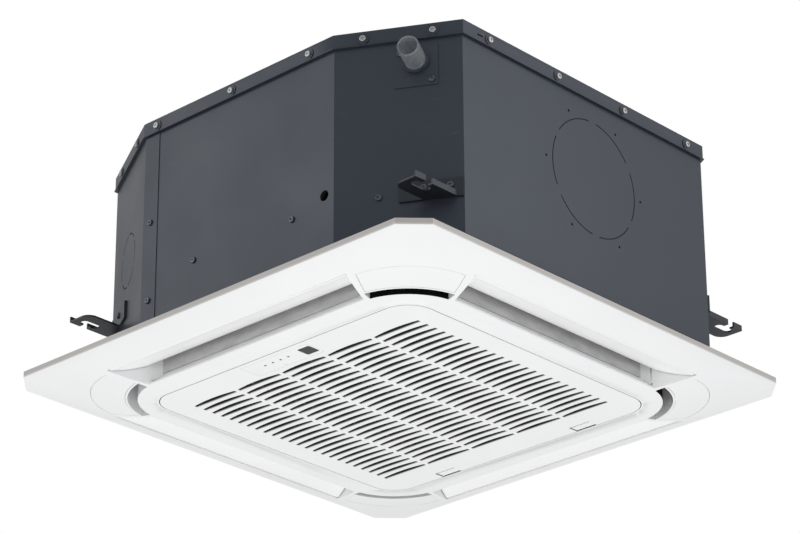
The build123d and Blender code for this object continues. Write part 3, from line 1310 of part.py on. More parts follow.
def make_louvre():
    """The -Y louvre in its closed place, then swung open about its pins."""
    drop = LOUVRE_BEAD_RADIUS
    outer = (LOUVRE_AXIS_U, LOUVRE_AXIS_Z - drop)
    slope = (EDGE_Z * 0.44) / (OUTLET_OUTER - OUTLET_INNER)
    inner = (LOUVRE_INNER_U, outer[1] - (LOUVRE_AXIS_U - LOUVRE_INNER_U) * slope)
    middle_u = (outer[0] + inner[0]) / 2
    middle_z = (outer[1] + inner[1]) / 2 - LOUVRE_SAG
    t = LOUVRE_THICKNESS
    x0 = -OUTLET_HALF_LENGTH - 10

    def at(u, z):
        return (x0, -u, z)

    face = make_face([
        ThreePointArc(at(*outer), at(middle_u, middle_z), at(*inner)),
        Line(at(*inner), at(inner[0], inner[1] + t * 0.6)),
        ThreePointArc(at(inner[0], inner[1] + t * 0.6), at(middle_u, middle_z + t),
                      at(outer[0], outer[1] + t + 0.6)),
        Line(at(outer[0], outer[1] + t + 0.6), at(*outer)),
    ])
    blade = extrude(face, amount=-2 * x0, dir=(1, 0, 0))
    blade += louvre_rod(-x0, LOUVRE_BEAD_RADIUS)
    u0 = LOUVRE_INNER_U - 4
    u1 = LOUVRE_AXIS_U + 6
    e0 = louvre_end(u0)
    e1 = louvre_end(u1)
    plan = prism([(-e0, -u0), (e0, -u0), (e1, -u1), (-e1, -u1)], -5, EDGE_Z + 5)
    louvre = blade & plan
    louvre += louvre_rod(louvre_pin_end(), PIN_RADIUS)
    axis = Axis((0, -LOUVRE_AXIS_U, LOUVRE_AXIS_Z), (1, 0, 0))
    return louvre.rotate(axis, LOUVRE_OPEN)


def make_louvre_motor():
    """A small geared stepper whose offset shaft takes the end of the louvre's pin."""
    x = louvre_pin_end() + 1
    shift = STEPPER_OFFSET / math.sqrt(2)
    u = LOUVRE_AXIS_U - shift
    z = LOUVRE_AXIS_Z + shift
    can = rod((x, -u, z), (x + STEPPER_LENGTH, -u, z), STEPPER_RADIUS)
    start = (x, -LOUVRE_AXIS_U, LOUVRE_AXIS_Z)
    hub = rod(start, (x + GEAR_CASE_THICKNESS, start[1], start[2]), BEARING_RADIUS)
    return can + hub


# ---- intake grille ----
def slit_cutter():
    """One slit: its near edge is an arc, and its far wall curves up and inwards."""
    half = SLIT_LENGTH / 2
    plan = make_face([
        ThreePointArc((-half, -SLIT_END, -1), (0, -SLIT_NEAR, -1), (half, -SLIT_END, -1)),
        Line((half, -SLIT_END, -1), (half, SLIT_FAR, -1)),
        Line((half, SLIT_FAR, -1), (-half, SLIT_FAR, -1)),
        Line((-half, SLIT_FAR, -1), (-half, -SLIT_END, -1)),
    ])
    lens = extrude(plan, amount=SLIT_PLATE + 2, dir=(0, 0, 1))
    x0 = -half - 1
    top = SLIT_PLATE + 1
    knee = SLIT_THROAT + (SLIT_FAR - SLIT_THROAT) * 0.3
    side = make_face([
        Line((x0, -SLIT_NEAR - 1, -1), (x0, SLIT_FAR, -1)),
        Line((x0, SLIT_FAR, -1), (x0, SLIT_FAR, 0)),
        ThreePointArc((x0, SLIT_FAR, 0), (x0, knee, SLIT_PLATE * 0.45), (x0, SLIT_THROAT, SLIT_PLATE)),
        Line((x0, SLIT_THROAT, SLIT_PLATE), (x0, SLIT_THROAT, top)),
        Line((x0, SLIT_THROAT, top), (x0, -SLIT_NEAR - 1, top)),
        Line((x0, -SLIT_NEAR - 1, top), (x0, -SLIT_NEAR - 1, -1)),
    ])
    return lens & extrude(side, amount=SLIT_LENGTH + 2, dir=(1, 0, 0))


def make_intake_grille():
    half = GRILLE_SIDE / 2
    grille = rounded(half, half, GRILLE_RADIUS, 0, GRILLE_SKIRT_TOP)
    inner = half - GRILLE_SKIRT
    grille -= rounded(inner, inner, GRILLE_RADIUS - GRILLE_SKIRT, GRILLE_PLATE, GRILLE_SKIRT_TOP + 1)
    reach_x = SLIT_PITCH_X * SLIT_COLUMNS / 2
    reach_y = SLIT_PITCH_Y * SLIT_ROWS / 2
    grille -= block(-reach_x, reach_x, -reach_y, reach_y, SLIT_PLATE, GRILLE_SKIRT_TOP)
    slit = slit_cutter()
    slits = []
    for column in range(SLIT_COLUMNS):
        for row in range(SLIT_ROWS):
            x = SLIT_PITCH_X * (column - (SLIT_COLUMNS - 1) / 2)
            y = SLIT_PITCH_Y * (row - (SLIT_ROWS - 1) / 2)
            slits.append(Pos(x, y, 0) * slit)
    grille = grille - slits
    for column in range(SLIT_COLUMNS + 1):
        x = SLIT_PITCH_X * (column - SLIT_COLUMNS / 2)
        grille += block(x - SLIT_RIB / 2, x + SLIT_RIB / 2, -reach_y, reach_y, 1, GRILLE_SKIRT_TOP)
    grille -= hinge_rods(half - HINGE_PIN_LENGTH + HINGE_PIN_REACH, half + 1, HINGE_PIN_RADIUS)
    for sx in (-1, 1):
        x = sx * LATCH_X
        grille -= block(x - LATCH_WIDTH / 2, x + LATCH_WIDTH / 2, half - LATCH_WINDOW, half + 1,
                        -1, GRILLE_SKIRT_TOP + 1)
    window = rounded(INSERT_X / 2, INSERT_Y / 2, 2, -1, GRILLE_SKIRT_TOP)
    return grille - Pos(INSERT_CENTRE_X, INSERT_CENTRE_Y, 0) * window


def hinge_rods(inner, outer, radius):
    """Round bars on the grille's hinge axis, one at each side of the grille."""
    rods = []
    for way in (-1, 1):
        rods.append(rod((way * inner, HINGE_Y, HINGE_Z), (way * outer, HINGE_Y, HINGE_Z), radius))
    return group(rods)


def make_hinge_pins():
    half = GRILLE_SIDE / 2
    return hinge_rods(half - HINGE_PIN_LENGTH + HINGE_PIN_REACH, half + HINGE_PIN_REACH, HINGE_PIN_RADIUS)


def make_latch(side):
    """A sliding catch, drawn in: pushed outwards, its front edge slides over the panel's rim."""
    x = side * LATCH_X
    half = LATCH_WIDTH / 2 - LATCH_SIDE_GAP
    y1 = GRILLE_SIDE / 2 - LATCH_SIDE_GAP
    y0 = y1 - LATCH_LENGTH
    z1 = GRILLE_PLATE + FIT_GAP
    pad = block(x - half, x + half, y0, y1, LATCH_FLOOR, z1)
    tip = (x, y1 - 2)
    dimple = prism([(x - LATCH_DIMPLE, y0 + 3), (x + LATCH_DIMPLE, y0 + 3), tip], 0, LATCH_FLOOR + 0.6)
    wide = half + LATCH_GUIDE
    end = GRILLE_SIDE / 2 - GRILLE_SKIRT - LATCH_TRAVEL - LATCH_SIDE_GAP
    guide = block(x - wide, x + wide, y0, end, z1, z1 + LATCH_GUIDE_HEIGHT)
    return pad - dimple + guide


def make_display_insert():
    g = INSERT_GAP
    body = rounded(INSERT_X / 2 - g, INSERT_Y / 2 - g, 2, 0, INSERT_HEIGHT)
    body += rounded(INSERT_X / 2 + 3, INSERT_Y / 2 + 2, 2, GRILLE_PLATE, INSERT_HEIGHT)
    w = INSERT_GAP + INSERT_WALL
    body -= rounded(INSERT_X / 2 - w, INSERT_Y / 2 - w, 1, INSERT_FACE, INSERT_HEIGHT - 1.5)
    body = Pos(INSERT_CENTRE_X, INSERT_CENTRE_Y, 0) * body
    for i in range(LAMP_COUNT):
        body -= disc(LAMP_RADIUS, -1, INSERT_FACE + 1, LAMP_FIRST_X + LAMP_PITCH * i, LAMP_Y)
    half = RECEIVER_SIDE / 2
    body -= Pos(RECEIVER_X, RECEIVER_Y, 0) * rounded(half, half, 2.5, -1, INSERT_FACE + 1)
    body -= disc(BUTTON_RADIUS + INSERT_GAP, -1, INSERT_FACE + 1, BUTTON_X, BUTTON_Y)
    return body


def make_lamp_lenses():
    places = [LAMP_FIRST_X + LAMP_PITCH * i for i in range(LAMP_COUNT)]
    return group([disc(LAMP_RADIUS, 0.2, INSERT_FACE, x, LAMP_Y) for x in places])


def make_receiver_lens():
    half = RECEIVER_SIDE / 2
    return Pos(RECEIVER_X, RECEIVER_Y, 0) * rounded(half, half, 2.5, 0.3, INSERT_FACE)


def make_manual_button():
    z = INSERT_FACE + FIT_GAP
    cap = disc(BUTTON_RADIUS, 0.4, z, BUTTON_X, BUTTON_Y)
    return cap + disc(BUTTON_RADIUS + BUTTON_FLANGE, z, z + 1, BUTTON_X, BUTTON_Y)


# ---- filter ----
def make_filter_frame():
    x = FILTER_X / 2
    y = FILTER_Y / 2
    b = FILTER_BORDER
    z1 = FILTER_Z + FILTER_HEIGHT
    frame = rounded(x, y, 5, FILTER_Z, z1) - rounded(x - b, y - b, 2, FILTER_Z - 1, z1 + 1)
    net = FILTER_Z + FILTER_HEIGHT / 2 - MESH_THICKNESS / 2
    half = FILTER_BAR / 2
    for i in range(1, FILTER_BARS + 1):
        bar_x = -x + 2 * x * i / (FILTER_BARS + 1)
        bar_y = -y + 2 * y * i / (FILTER_BARS + 1)
        frame += block(bar_x - half, bar_x + half, -y + b - 1, y - b + 1, FILTER_Z, net)
        frame += block(-x + b - 1, x - b + 1, bar_y - half, bar_y + half, FILTER_Z, net)
    return frame


def make_filter_mesh():
    middle = FILTER_Z + FILTER_HEIGHT / 2
    x = FILTER_X / 2 - FILTER_BORDER
    y = FILTER_Y / 2 - FILTER_BORDER
    return rounded(x, y, 2, middle - MESH_THICKNESS / 2, middle + MESH_THICKNESS / 2)


# ---- groups of screws ----
def make_rim_screws():
    z = TOP_Z - RIM_SCREW_DROP
    return group([spot(wall, along, z, -1.0) * screw(length=6) for wall, along in rim_spots()])


def make_side_screws():
    screws = []
    for wall, along, z in side_screw_spots():
        lapped = wall == FRONT and along < -110
        screws.append(spot(wall, along, z, WALL_OUT - (SHEET if lapped else 0)) * screw())
    for wall in (NEAR, LEFT_CORNER, FAR, RIGHT_CORNER):
        for along, z in hook_screw_spots(wall):
            screws.append(spot(wall, along, z, WALL_OUT - HOOK_SHEET - 0.9) * screw(length=5))
    for x, y in drain_plate_screws():
        place = spot(NEAR, PUMP_ALONG, DRAIN_Z, WALL_OUT - 1.2)
        screws.append(place * Pos(x, y, 0) * screw(length=3))
    return group(screws)


def main():
    os.makedirs("parts", exist_ok=True)
    save("top_plate", make_top_plate())
    save("casing_front", make_casing_front())
    save("casing_left", make_casing_left())
    save("casing_rear", make_casing_rear())
    save("foam_liner", make_foam_liner())
    save("rim_screws", make_rim_screws())
    save("side_screws", make_side_screws())
    save("hanging_hooks", make_hooks())
    save("drain_plate", make_drain_plate())
    save("drain_tube", make_drain_tube())
    save("drain_hose", make_inner_hose())
    save("drain_pump", make_pump())
    save("pump_impeller", make_impeller())
    save("float_guide", make_float_guide())
    save("float", make_float())
    tray, base = make_drain_pan()
    save("drain_pan", tray)
    save("pan_base", base)
    save("coil_fins", make_fin_pack())
    plates = []
    bends = []
    for place_y in (True, False):
        plate, tubes = coil_end(place_y)
        plates.append(plate)
        bends += tubes
    save("coil_end_plates", group(plates))
    save("coil_tubes", group(bends))
    save("gas_pipe", make_pipe(GAS_Z, GAS_RADIUS, GAS_Z + 90))
    save("liquid_pipe", make_pipe(LIQUID_Z, LIQUID_RADIUS, LIQUID_Z - 20))
    save("pipe_plate", make_pipe_plate())
    unions = [make_union(GAS_Z, GAS_RADIUS, GAS_UNION_RADIUS)]
    unions.append(make_union(LIQUID_Z, LIQUID_RADIUS, LIQUID_UNION_RADIUS))
    save("pipe_unions", group(unions))
    save("bell_mouth", make_bell_mouth())
    hub, blades, ring = make_fan()
    save("fan_wheel", hub)
    save("fan_blades", blades)
    save("fan_shroud", ring)
    save("fan_nut", make_fan_nut())
    save("motor_shaft", make_motor_shaft())
    save("motor_case", make_motor_case())
    save("motor_bearings", make_bearings())
    save("motor_bracket", make_motor_bracket())
    save("motor_mounts", make_motor_mounts())
    save("control_box", make_control_box())
    save("control_cover", make_control_cover())
    save("circuit_board", make_circuit_board())
    save("terminal_block", make_terminal_block())
    face, guide, walls = make_panel()
    save("panel_frame", face)
    save("air_guide", guide)
    save("outlet_walls", walls)
    save("corner_lids", make_corner_lids())
    save("duct_liners", make_duct_liners())
    save("panel_seal", make_panel_seal())
    save("panel_screws", make_panel_screws())
    louvre = make_louvre()
    stepper = make_louvre_motor()
    for quarter, name in enumerate(("front", "right", "back", "left")):
        save(f"louvre_{name}", turned(louvre, quarter))
    save("louvre_motors", group([turned(stepper, quarter) for quarter in range(4)]))
    save("intake_grille", make_intake_grille())
    save("hinge_pins", make_hinge_pins())
    save("latch_left", make_latch(-1))
    save("latch_right", make_latch(1))
    save("display_insert", make_display_insert())
    save("lamp_lenses", make_lamp_lenses())
    save("receiver_lens", make_receiver_lens())
    save("manual_button", make_manual_button())
    save("filter_frame", make_filter_frame())
    save("filter_mesh", make_filter_mesh())


main()
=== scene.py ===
import bpy
import bmesh
import json
import math
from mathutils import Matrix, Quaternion, Vector
from mathutils.bvhtree import BVHTree


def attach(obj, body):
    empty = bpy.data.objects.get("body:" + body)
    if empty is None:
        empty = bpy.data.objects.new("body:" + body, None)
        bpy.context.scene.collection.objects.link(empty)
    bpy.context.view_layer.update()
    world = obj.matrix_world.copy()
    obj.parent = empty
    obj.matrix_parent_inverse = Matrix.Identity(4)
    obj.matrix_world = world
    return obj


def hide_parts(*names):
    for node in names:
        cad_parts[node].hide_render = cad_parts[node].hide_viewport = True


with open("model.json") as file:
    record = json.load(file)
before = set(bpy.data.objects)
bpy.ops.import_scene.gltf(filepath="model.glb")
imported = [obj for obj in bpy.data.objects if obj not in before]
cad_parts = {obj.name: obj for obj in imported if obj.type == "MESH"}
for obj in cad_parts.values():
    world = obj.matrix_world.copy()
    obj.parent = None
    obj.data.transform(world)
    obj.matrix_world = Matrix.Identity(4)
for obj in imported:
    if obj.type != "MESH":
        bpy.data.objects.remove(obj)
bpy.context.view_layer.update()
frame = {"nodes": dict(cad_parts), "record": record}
nodes = frame["nodes"]

# ---- casing sheets and top plate ----
# Pressed steel sheets with a dark slate powder coat, bent at the corners and screwed to a folded
# lid. The coat has a fine orange peel, faint handling marks and paler rubs along the folds.


def shader(name, colour, roughness, metallic=0.0):
    """A material with its shader, whose colour, roughness and metal are set on the shader itself."""
    material = bpy.data.materials.new(name)
    material.use_nodes = True
    tree = material.node_tree
    surface = tree.nodes["Principled BSDF"]
    surface.inputs["Base Color"].default_value = (*colour, 1)
    surface.inputs["Roughness"].default_value = roughness
    surface.inputs["Metallic"].default_value = metallic
    return material, tree, surface


def grain(tree, scale, detail=4.0, stretch=(1, 1, 1), distortion=0.0):
    """Noise in the piece's own metres, longer one way where stretch is small."""
    place = tree.nodes.new("ShaderNodeTexCoord")
    turn = tree.nodes.new("ShaderNodeMapping")
    turn.inputs["Scale"].default_value = stretch
    noise = tree.nodes.new("ShaderNodeTexNoise")
    noise.inputs["Scale"].default_value = scale
    noise.inputs["Detail"].default_value = detail
    noise.inputs["Distortion"].default_value = distortion
    tree.links.new(place.outputs["Object"], turn.inputs["Vector"])
    tree.links.new(turn.outputs["Vector"], noise.inputs["Vector"])
    return noise.outputs["Fac"]


def spread(tree, value, low, high, new_low, new_high):
    """Maps a span of a grain to a span of roughness, colour strength or height."""
    span = tree.nodes.new("ShaderNodeMapRange")
    span.inputs["From Min"].default_value = low
    span.inputs["From Max"].default_value = high
    span.inputs["To Min"].default_value = new_low
    span.inputs["To Max"].default_value = new_high
    tree.links.new(value, span.inputs["Value"])
    return span.outputs["Result"]


def tinted(tree, surface, value, first, second):
    """Blends two tones of the finish by a grain, and gives back the blend."""
    mix = tree.nodes.new("ShaderNodeMix")
    mix.data_type = "RGBA"
    mix.inputs["A"].default_value = (*first, 1)
    mix.inputs["B"].default_value = (*second, 1)
    tree.links.new(value, mix.inputs["Factor"])
    tree.links.new(mix.outputs["Result"], surface.inputs["Base Color"])
    return mix.outputs["Result"]


def dented(tree, surface, value, strength, depth):
    """Raises the finish by a grain."""
    bump = tree.nodes.new("ShaderNodeBump")
    bump.inputs["Strength"].default_value = strength
    bump.inputs["Distance"].default_value = depth
    tree.links.new(value, bump.inputs["Height"])
    tree.links.new(bump.outputs["Normal"], surface.inputs["Normal"])


def powder_coat(name, tone):
    """A dark blue-grey coat, unevenly dull, with a few pale rubs."""
    darker = tuple(part * 0.9 for part in tone)
    paler = tuple(part * 1.1 for part in tone)
    material, tree, surface = shader(name, tone, 0.42)
    cloud = spread(tree, grain(tree, 2.5, 2.0), 0.3, 0.7, 0.0, 1.0)
    clouded = tinted(tree, surface, cloud, darker, paler)
    rub = spread(tree, grain(tree, 60.0, 6.0, (0.25, 0.25, 1.6), 1.2), 0.70, 0.80, 0.0, 0.35)
    worn = tree.nodes.new("ShaderNodeMix")
    worn.data_type = "RGBA"
    worn.inputs["B"].default_value = (0.14, 0.145, 0.155, 1)
    tree.links.new(rub, worn.inputs["Factor"])
    tree.links.new(clouded, worn.inputs["A"])
    tree.links.new(worn.outputs["Result"], surface.inputs["Base Color"])
    gloss = spread(tree, grain(tree, 9.0, 3.0), 0.3, 0.7, 0.36, 0.44)
    tree.links.new(gloss, surface.inputs["Roughness"])
    surface.inputs["Specular Tint"].default_value = (0.80, 0.90, 1.0, 1)
    dented(tree, surface, grain(tree, 900.0, 2.0), 0.2, 0.0001)
    return material


# Corners this near to each other are one, and faces this near to level with each other are flat.
SAME_PLACE = 3e-6
FLAT = math.radians(0.5)


def eased(node, finish, width=0.0, angle=30.0, segments=2, inside=None, others=(), where=None):
    """The node's shape with its facets joined, its curves smooth and its edges just broken.

    Faces that `inside` picks are hidden in the plastic and go; `where` numbers the finish of
    each face, from the first finish on to the others.
    """
    mesh = bpy.data.meshes.new(node + "_finished")
    shape = bmesh.new()
    shape.from_mesh(nodes[node].data)
    if inside:
        bmesh.ops.delete(shape, geom=inside(shape), context="FACES_ONLY")
    bmesh.ops.remove_doubles(shape, verts=shape.verts, dist=SAME_PLACE)
    for face in shape.faces:
        face.material_index = int(where(face)) if where else 0
    bmesh.ops.dissolve_limit(shape, angle_limit=FLAT, verts=shape.verts, edges=shape.edges,
                             delimit={"MATERIAL"})
    shape.to_mesh(mesh)
    shape.free()
    mesh.polygons.foreach_set("use_smooth", [True] * len(mesh.polygons))
    mesh.set_sharp_from_angle(angle=math.radians(angle))
    for coating in (finish, *others):
        mesh.materials.append(coating)
    piece = bpy.data.objects.new(node + "_finished", mesh)
    bpy.context.collection.objects.link(piece)
    if width:
        edge = piece.modifiers.new("broken_edges", "BEVEL")
        edge.width = width
        edge.segments = segments
        edge.limit_method = "ANGLE"
        edge.angle_limit = math.radians(angle)
        edge.harden_normals = True
        edge.use_clamp_overlap = True
    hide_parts(node)
    body = next(name for name, group in frame["record"]["behaviour"]["bodies"].items() if node in group)
    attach(piece, body)
    return piece


coat = powder_coat("slate_powder_coat", (0.026, 0.032, 0.044))
for sheet in ("casing_front", "casing_left", "casing_rear"):
    eased(sheet, coat, 0.0006)
eased("top_plate", coat, 0.0009, segments=3)
eased("hanging_hooks", powder_coat("dark_powder_coat", (0.012, 0.014, 0.018)), 0.0004)
for plate in ("drain_plate", "pipe_plate"):
    eased(plate, coat, 0.0003)

# ---- screws ----
# Zinc plated cross-head screws, pressed and tumbled, with a dull blue-grey passivation. Those in
# the casing's sides are passivated nearly black.


def zinc(name, dark, light):
    """Zinc plate between two tones, in specks as fine as the tumbling leaves."""
    material, tree, surface = shader(name, light, 0.38, 1.0)
    tinted(tree, surface, spread(tree, grain(tree, 700.0), 0.35, 0.65, 0.0, 1.0), dark, light)
    tree.links.new(spread(tree, grain(tree, 1500.0), 0.3, 0.7, 0.28, 0.5), surface.inputs["Roughness"])
    return material


plating = zinc("zinc_plate", (0.36, 0.37, 0.38), (0.50, 0.50, 0.49))
eased("side_screws", zinc("dark_zinc_plate", (0.07, 0.08, 0.10), (0.14, 0.155, 0.185)))
for screws in ("rim_screws", "panel_screws", "fan_nut", "hinge_pins"):
    eased(screws, plating)

# ---- foam liner, panel seal and drain pan ----
# Black closed-cell foam sheets glued inside the casing and on the panel, and a white moulded foam
# pan with a thin plastic skin, which carries the coil and the drain water.


def cell_foam():
    """Black foam with its cut cells."""
    material, tree, surface = shader("closed_cell_foam", (0.03, 0.03, 0.032), 0.9)
    tinted(tree, surface, spread(tree, grain(tree, 500.0), 0.35, 0.65, 0.0, 1.0),
           (0.018, 0.018, 0.02), (0.045, 0.045, 0.048))
    dented(tree, surface, grain(tree, 900.0), 0.5, 0.0004)
    return material


def pan_skin():
    """The pan's thin white skin, which shows the beads of the foam under it."""
    material, tree, surface = shader("pan_skin", (0.78, 0.78, 0.78), 0.6)
    tinted(tree, surface, spread(tree, grain(tree, 60.0), 0.3, 0.7, 0.0, 1.0),
           (0.74, 0.74, 0.74), (0.82, 0.82, 0.815))
    dented(tree, surface, grain(tree, 250.0), 0.4, 0.0003)
    return material


foam = cell_foam()
for lining in ("foam_liner", "panel_seal"):
    eased(lining, foam)
skin = pan_skin()
for half in ("drain_pan", "pan_base"):
    eased(half, skin)

# ---- drain tube, inner hose, pump and float ----
# A clear plastic outlet tube held by the plate's collar, a ribbed grey hose to the lift pump, and
# the pump's cream body that dips into the pan beside its float.


def clear_plastic():
    """Clear plastic with faint smears."""
    material, tree, surface = shader("clear_plastic", (0.80, 0.84, 0.87), 0.12)
    surface.inputs["Transmission Weight"].default_value = 0.85
    surface.inputs["IOR"].default_value = 1.48
    tree.links.new(spread(tree, grain(tree, 120.0), 0.3, 0.7, 0.06, 0.2), surface.inputs["Roughness"])
    return material


def moulded(name, colour, roughness):
    """Moulded plastic with a fine spark-eroded skin."""
    material, tree, surface = shader(name, colour, roughness)
    darker = tuple(part * 0.92 for part in colour)
    paler = tuple(part * 1.08 for part in colour)
    tinted(tree, surface, spread(tree, grain(tree, 30.0), 0.3, 0.7, 0.0, 1.0), darker, paler)
    tree.links.new(spread(tree, grain(tree, 45.0), 0.3, 0.7, roughness * 0.85, min(1.0, roughness * 1.2)),
                   surface.inputs["Roughness"])
    dented(tree, surface, grain(tree, 900.0), 0.3, 0.0001)
    return material


eased("drain_tube", clear_plastic(), 0.0004)
grey = moulded("grey_plastic", (0.17, 0.175, 0.18), 0.45)
cream = moulded("cream_plastic", (0.70, 0.66, 0.57), 0.45)
for fitting in ("drain_hose", "pump_impeller"):
    eased(fitting, grey)
for fitting in ("drain_pump", "float_guide", "float", "louvre_motors"):
    eased(fitting, cream, 0.0004)

# ---- coil and refrigerant pipes ----
# Thin aluminium fins pressed on copper tubes, bent round the fan, with copper stubs that end in
# turned brass unions for flare nuts.


def fin_stack():
    """Upright aluminium fins, with painted shade for the dark gaps between them."""
    material, tree, surface = shader("fin_stack", (0.70, 0.72, 0.74), 0.35, 1.0)
    # Dark streaks stand for painted shade in the gaps between the fins.
    tinted(tree, surface, spread(tree, grain(tree, 200.0, 2.0, (4, 4, 0.02)), 0.4, 0.6, 0.0, 1.0),
           (0.35, 0.36, 0.38), (0.80, 0.82, 0.84))
    dented(tree, surface, grain(tree, 400.0, 1.0, (2, 2, 0.01)), 0.8, 0.0006)
    return material


def metal(name, dark, light, roughness):
    """Bare metal, cloudy between two tones."""
    material, tree, surface = shader(name, light, roughness, 1.0)
    tinted(tree, surface, spread(tree, grain(tree, 40.0), 0.3, 0.7, 0.0, 1.0), dark, light)
    tree.links.new(spread(tree, grain(tree, 120.0), 0.3, 0.7, roughness * 0.8, roughness * 1.3),
                   surface.inputs["Roughness"])
    return material


copper = metal("bare_copper", (0.50, 0.22, 0.12), (0.75, 0.38, 0.24), 0.32)
brass = metal("turned_brass", (0.52, 0.37, 0.15), (0.68, 0.52, 0.26), 0.28)
eased("coil_fins", fin_stack())
for pipe in ("coil_tubes", "gas_pipe", "liquid_pipe"):
    eased(pipe, copper)
eased("pipe_unions", brass, 0.0004)
sheet_steel = metal("plain_sheet", (0.50, 0.51, 0.52), (0.62, 0.63, 0.64), 0.4)
for plate in ("coil_end_plates", "motor_bracket", "control_box", "control_cover"):
    eased(plate, sheet_steel, 0.0003)

# ---- fan, motor and bell mouth ----
# A moulded centrifugal wheel on the shaft of a canned motor, hung on rubber mounts, which draws
# the air up through a black bell mouth.
fan_grey = moulded("fan_plastic", (0.10, 0.10, 0.105), 0.5)
for part in ("fan_wheel", "fan_blades", "fan_shroud"):
    eased(part, fan_grey, angle=35)
black = moulded("black_plastic", (0.012, 0.012, 0.013), 0.55)
for part in ("bell_mouth", "motor_case", "terminal_block"):
    eased(part, black, angle=35)
ground = metal("ground_steel", (0.50, 0.50, 0.51), (0.62, 0.62, 0.63), 0.25)
for part in ("motor_shaft", "motor_bearings"):
    eased(part, ground)
eased("motor_mounts", moulded("mount_rubber", (0.02, 0.02, 0.02), 0.8))
eased("circuit_board", moulded("board_lacquer", (0.01, 0.08, 0.03), 0.35))

# ---- panel frame and corner lids ----
# One large injection moulding in white plastic with a fine satin skin, dished towards its outer
# edge, with four separate lids pressed in at the corners.


def white_moulding(name):
    """Satin white plastic, a little uneven in tone and gloss."""
    material, tree, surface = shader(name, (0.86, 0.865, 0.87), 0.36)
    tinted(tree, surface, spread(tree, grain(tree, 9.0, 3.0), 0.3, 0.7, 0.0, 1.0),
           (0.845, 0.85, 0.857), (0.868, 0.872, 0.876))
    tree.links.new(spread(tree, grain(tree, 20.0, 4.0), 0.3, 0.7, 0.31, 0.42), surface.inputs["Roughness"])
    dented(tree, surface, grain(tree, 1400.0, 2.0), 0.12, 0.00005)
    return material


# Where the panel's edge, corner slots, lid gaps and inner meeting lines lie, in metres.
EDGE_OUT = 0.3
EDGE_LOW = 0.02
CORNER_CENTRE = 0.1626
MEETING_RADIUS = 0.082
SLOT_RADIUS = 0.076
SLOT_SLACK = 0.0006
LID_CENTRE = 0.19
LID_GAP_INNER = 0.0875
LID_GAP_OUTER = 0.0926


def edge_band(face):
    """Whether a face is on the upright outer edge of the panel."""
    middle = face.calc_center_median()
    out = max(abs(middle.x), abs(middle.y))
    return abs(face.normal.z) < 0.4 and out > EDGE_OUT and middle.z > EDGE_LOW


def joint(face):
    """Whether a face is upright on a line where the moulding's sides meet."""
    def off_ring(place):
        x = abs(place.x) - CORNER_CENTRE
        y = abs(place.y) - CORNER_CENTRE
        out = math.hypot(x, y) if min(x, y) > 0 else max(x, y)
        return out - MEETING_RADIUS
    diagonal = all(abs(abs(corner.co.x) - abs(corner.co.y)) < SAME_PLACE for corner in face.verts)
    ring = all(abs(off_ring(corner.co)) < SAME_PLACE for corner in face.verts)
    return abs(face.normal.z) < 0.01 and (diagonal or ring)


def meeting_faces(shape):
    """The faces where the moulding's sides meet, with more plastic all over their front."""
    plastic = BVHTree.FromBMesh(shape)

    def covered(face):
        middle = face.calc_center_median()
        for corner in face.verts:
            start = corner.co.lerp(middle, 0.1) + face.normal * 0.00002
            beyond = plastic.ray_cast(start, face.normal)[1]
            if beyond is None or beyond.dot(face.normal) < 0:
                return False
        return True
    return [face for face in shape.faces if joint(face) and covered(face)]


def lid_gap(face):
    """Whether a face lies in the narrow gap round the outer edge of a corner lid."""
    middle = face.calc_center_median()
    x = abs(middle.x) - LID_CENTRE
    y = abs(middle.y) - LID_CENTRE
    return min(x, y) > 0 and LID_GAP_INNER < math.hypot(x, y) < LID_GAP_OUTER


def slot_wall(face):
    """Whether a face is on a corner slot's inner wall, which gets black painted shade; the left corner's
    slot gets none.
    """
    middle = face.calc_center_median()
    x = abs(middle.x) - CORNER_CENTRE
    y = abs(middle.y) - CORNER_CENTRE
    lined = max(middle.x, middle.y) > 0 and min(x, y) > 0
    return lined and abs(face.normal.z) < 0.3 and abs(math.hypot(x, y) - SLOT_RADIUS) < SLOT_SLACK


def painted(face):
    """Which finish a face of the panel gets: plain, black painted shade on a slot wall, grey painted shade
    on the edge band, or grey painted shade in a lid gap.
    """
    tests = (slot_wall, edge_band, lid_gap)
    return next((number for number, test in enumerate(tests, 1) if test(face)), 0)


def tinted_where(material, value, tone):
    """Turns the finish to another tone by a value."""
    tree = material.node_tree
    surface = tree.nodes["Principled BSDF"]
    colour = surface.inputs["Base Color"].links[0].from_socket
    mix = tree.nodes.new("ShaderNodeMix")
    mix.data_type = "RGBA"
    mix.inputs["B"].default_value = (*tone, 1)
    tree.links.new(value, mix.inputs["Factor"])
    tree.links.new(colour, mix.inputs["A"])
    tree.links.new(mix.outputs["Result"], surface.inputs["Base Color"])


def height(tree):
    """How high a place is in the piece, in metres."""
    place = tree.nodes.new("ShaderNodeTexCoord")
    parts = tree.nodes.new("ShaderNodeSeparateXYZ")
    tree.links.new(place.outputs["Object"], parts.inputs["Vector"])
    return parts.outputs["Z"]


white = white_moulding("white_moulding")
# The panel's upright outer edge gets grey painted shade, stronger towards its top.
edge_painted_shade = white_moulding("edge_moulding_painted_shade")
edge_tree = edge_painted_shade.node_tree
tinted_where(edge_painted_shade, spread(edge_tree, height(edge_tree), 0.021, 0.024, 0.2, 1.0), (0.46, 0.44, 0.42))
# Black painted shade for the inner walls of the corner slots, all but the left one.
slot_painted_shade = moulded("painted_slot_shade", (0.003, 0.003, 0.0035), 0.9)
slot_painted_shade.node_tree.nodes["Principled BSDF"].inputs["Specular IOR Level"].default_value = 0.1
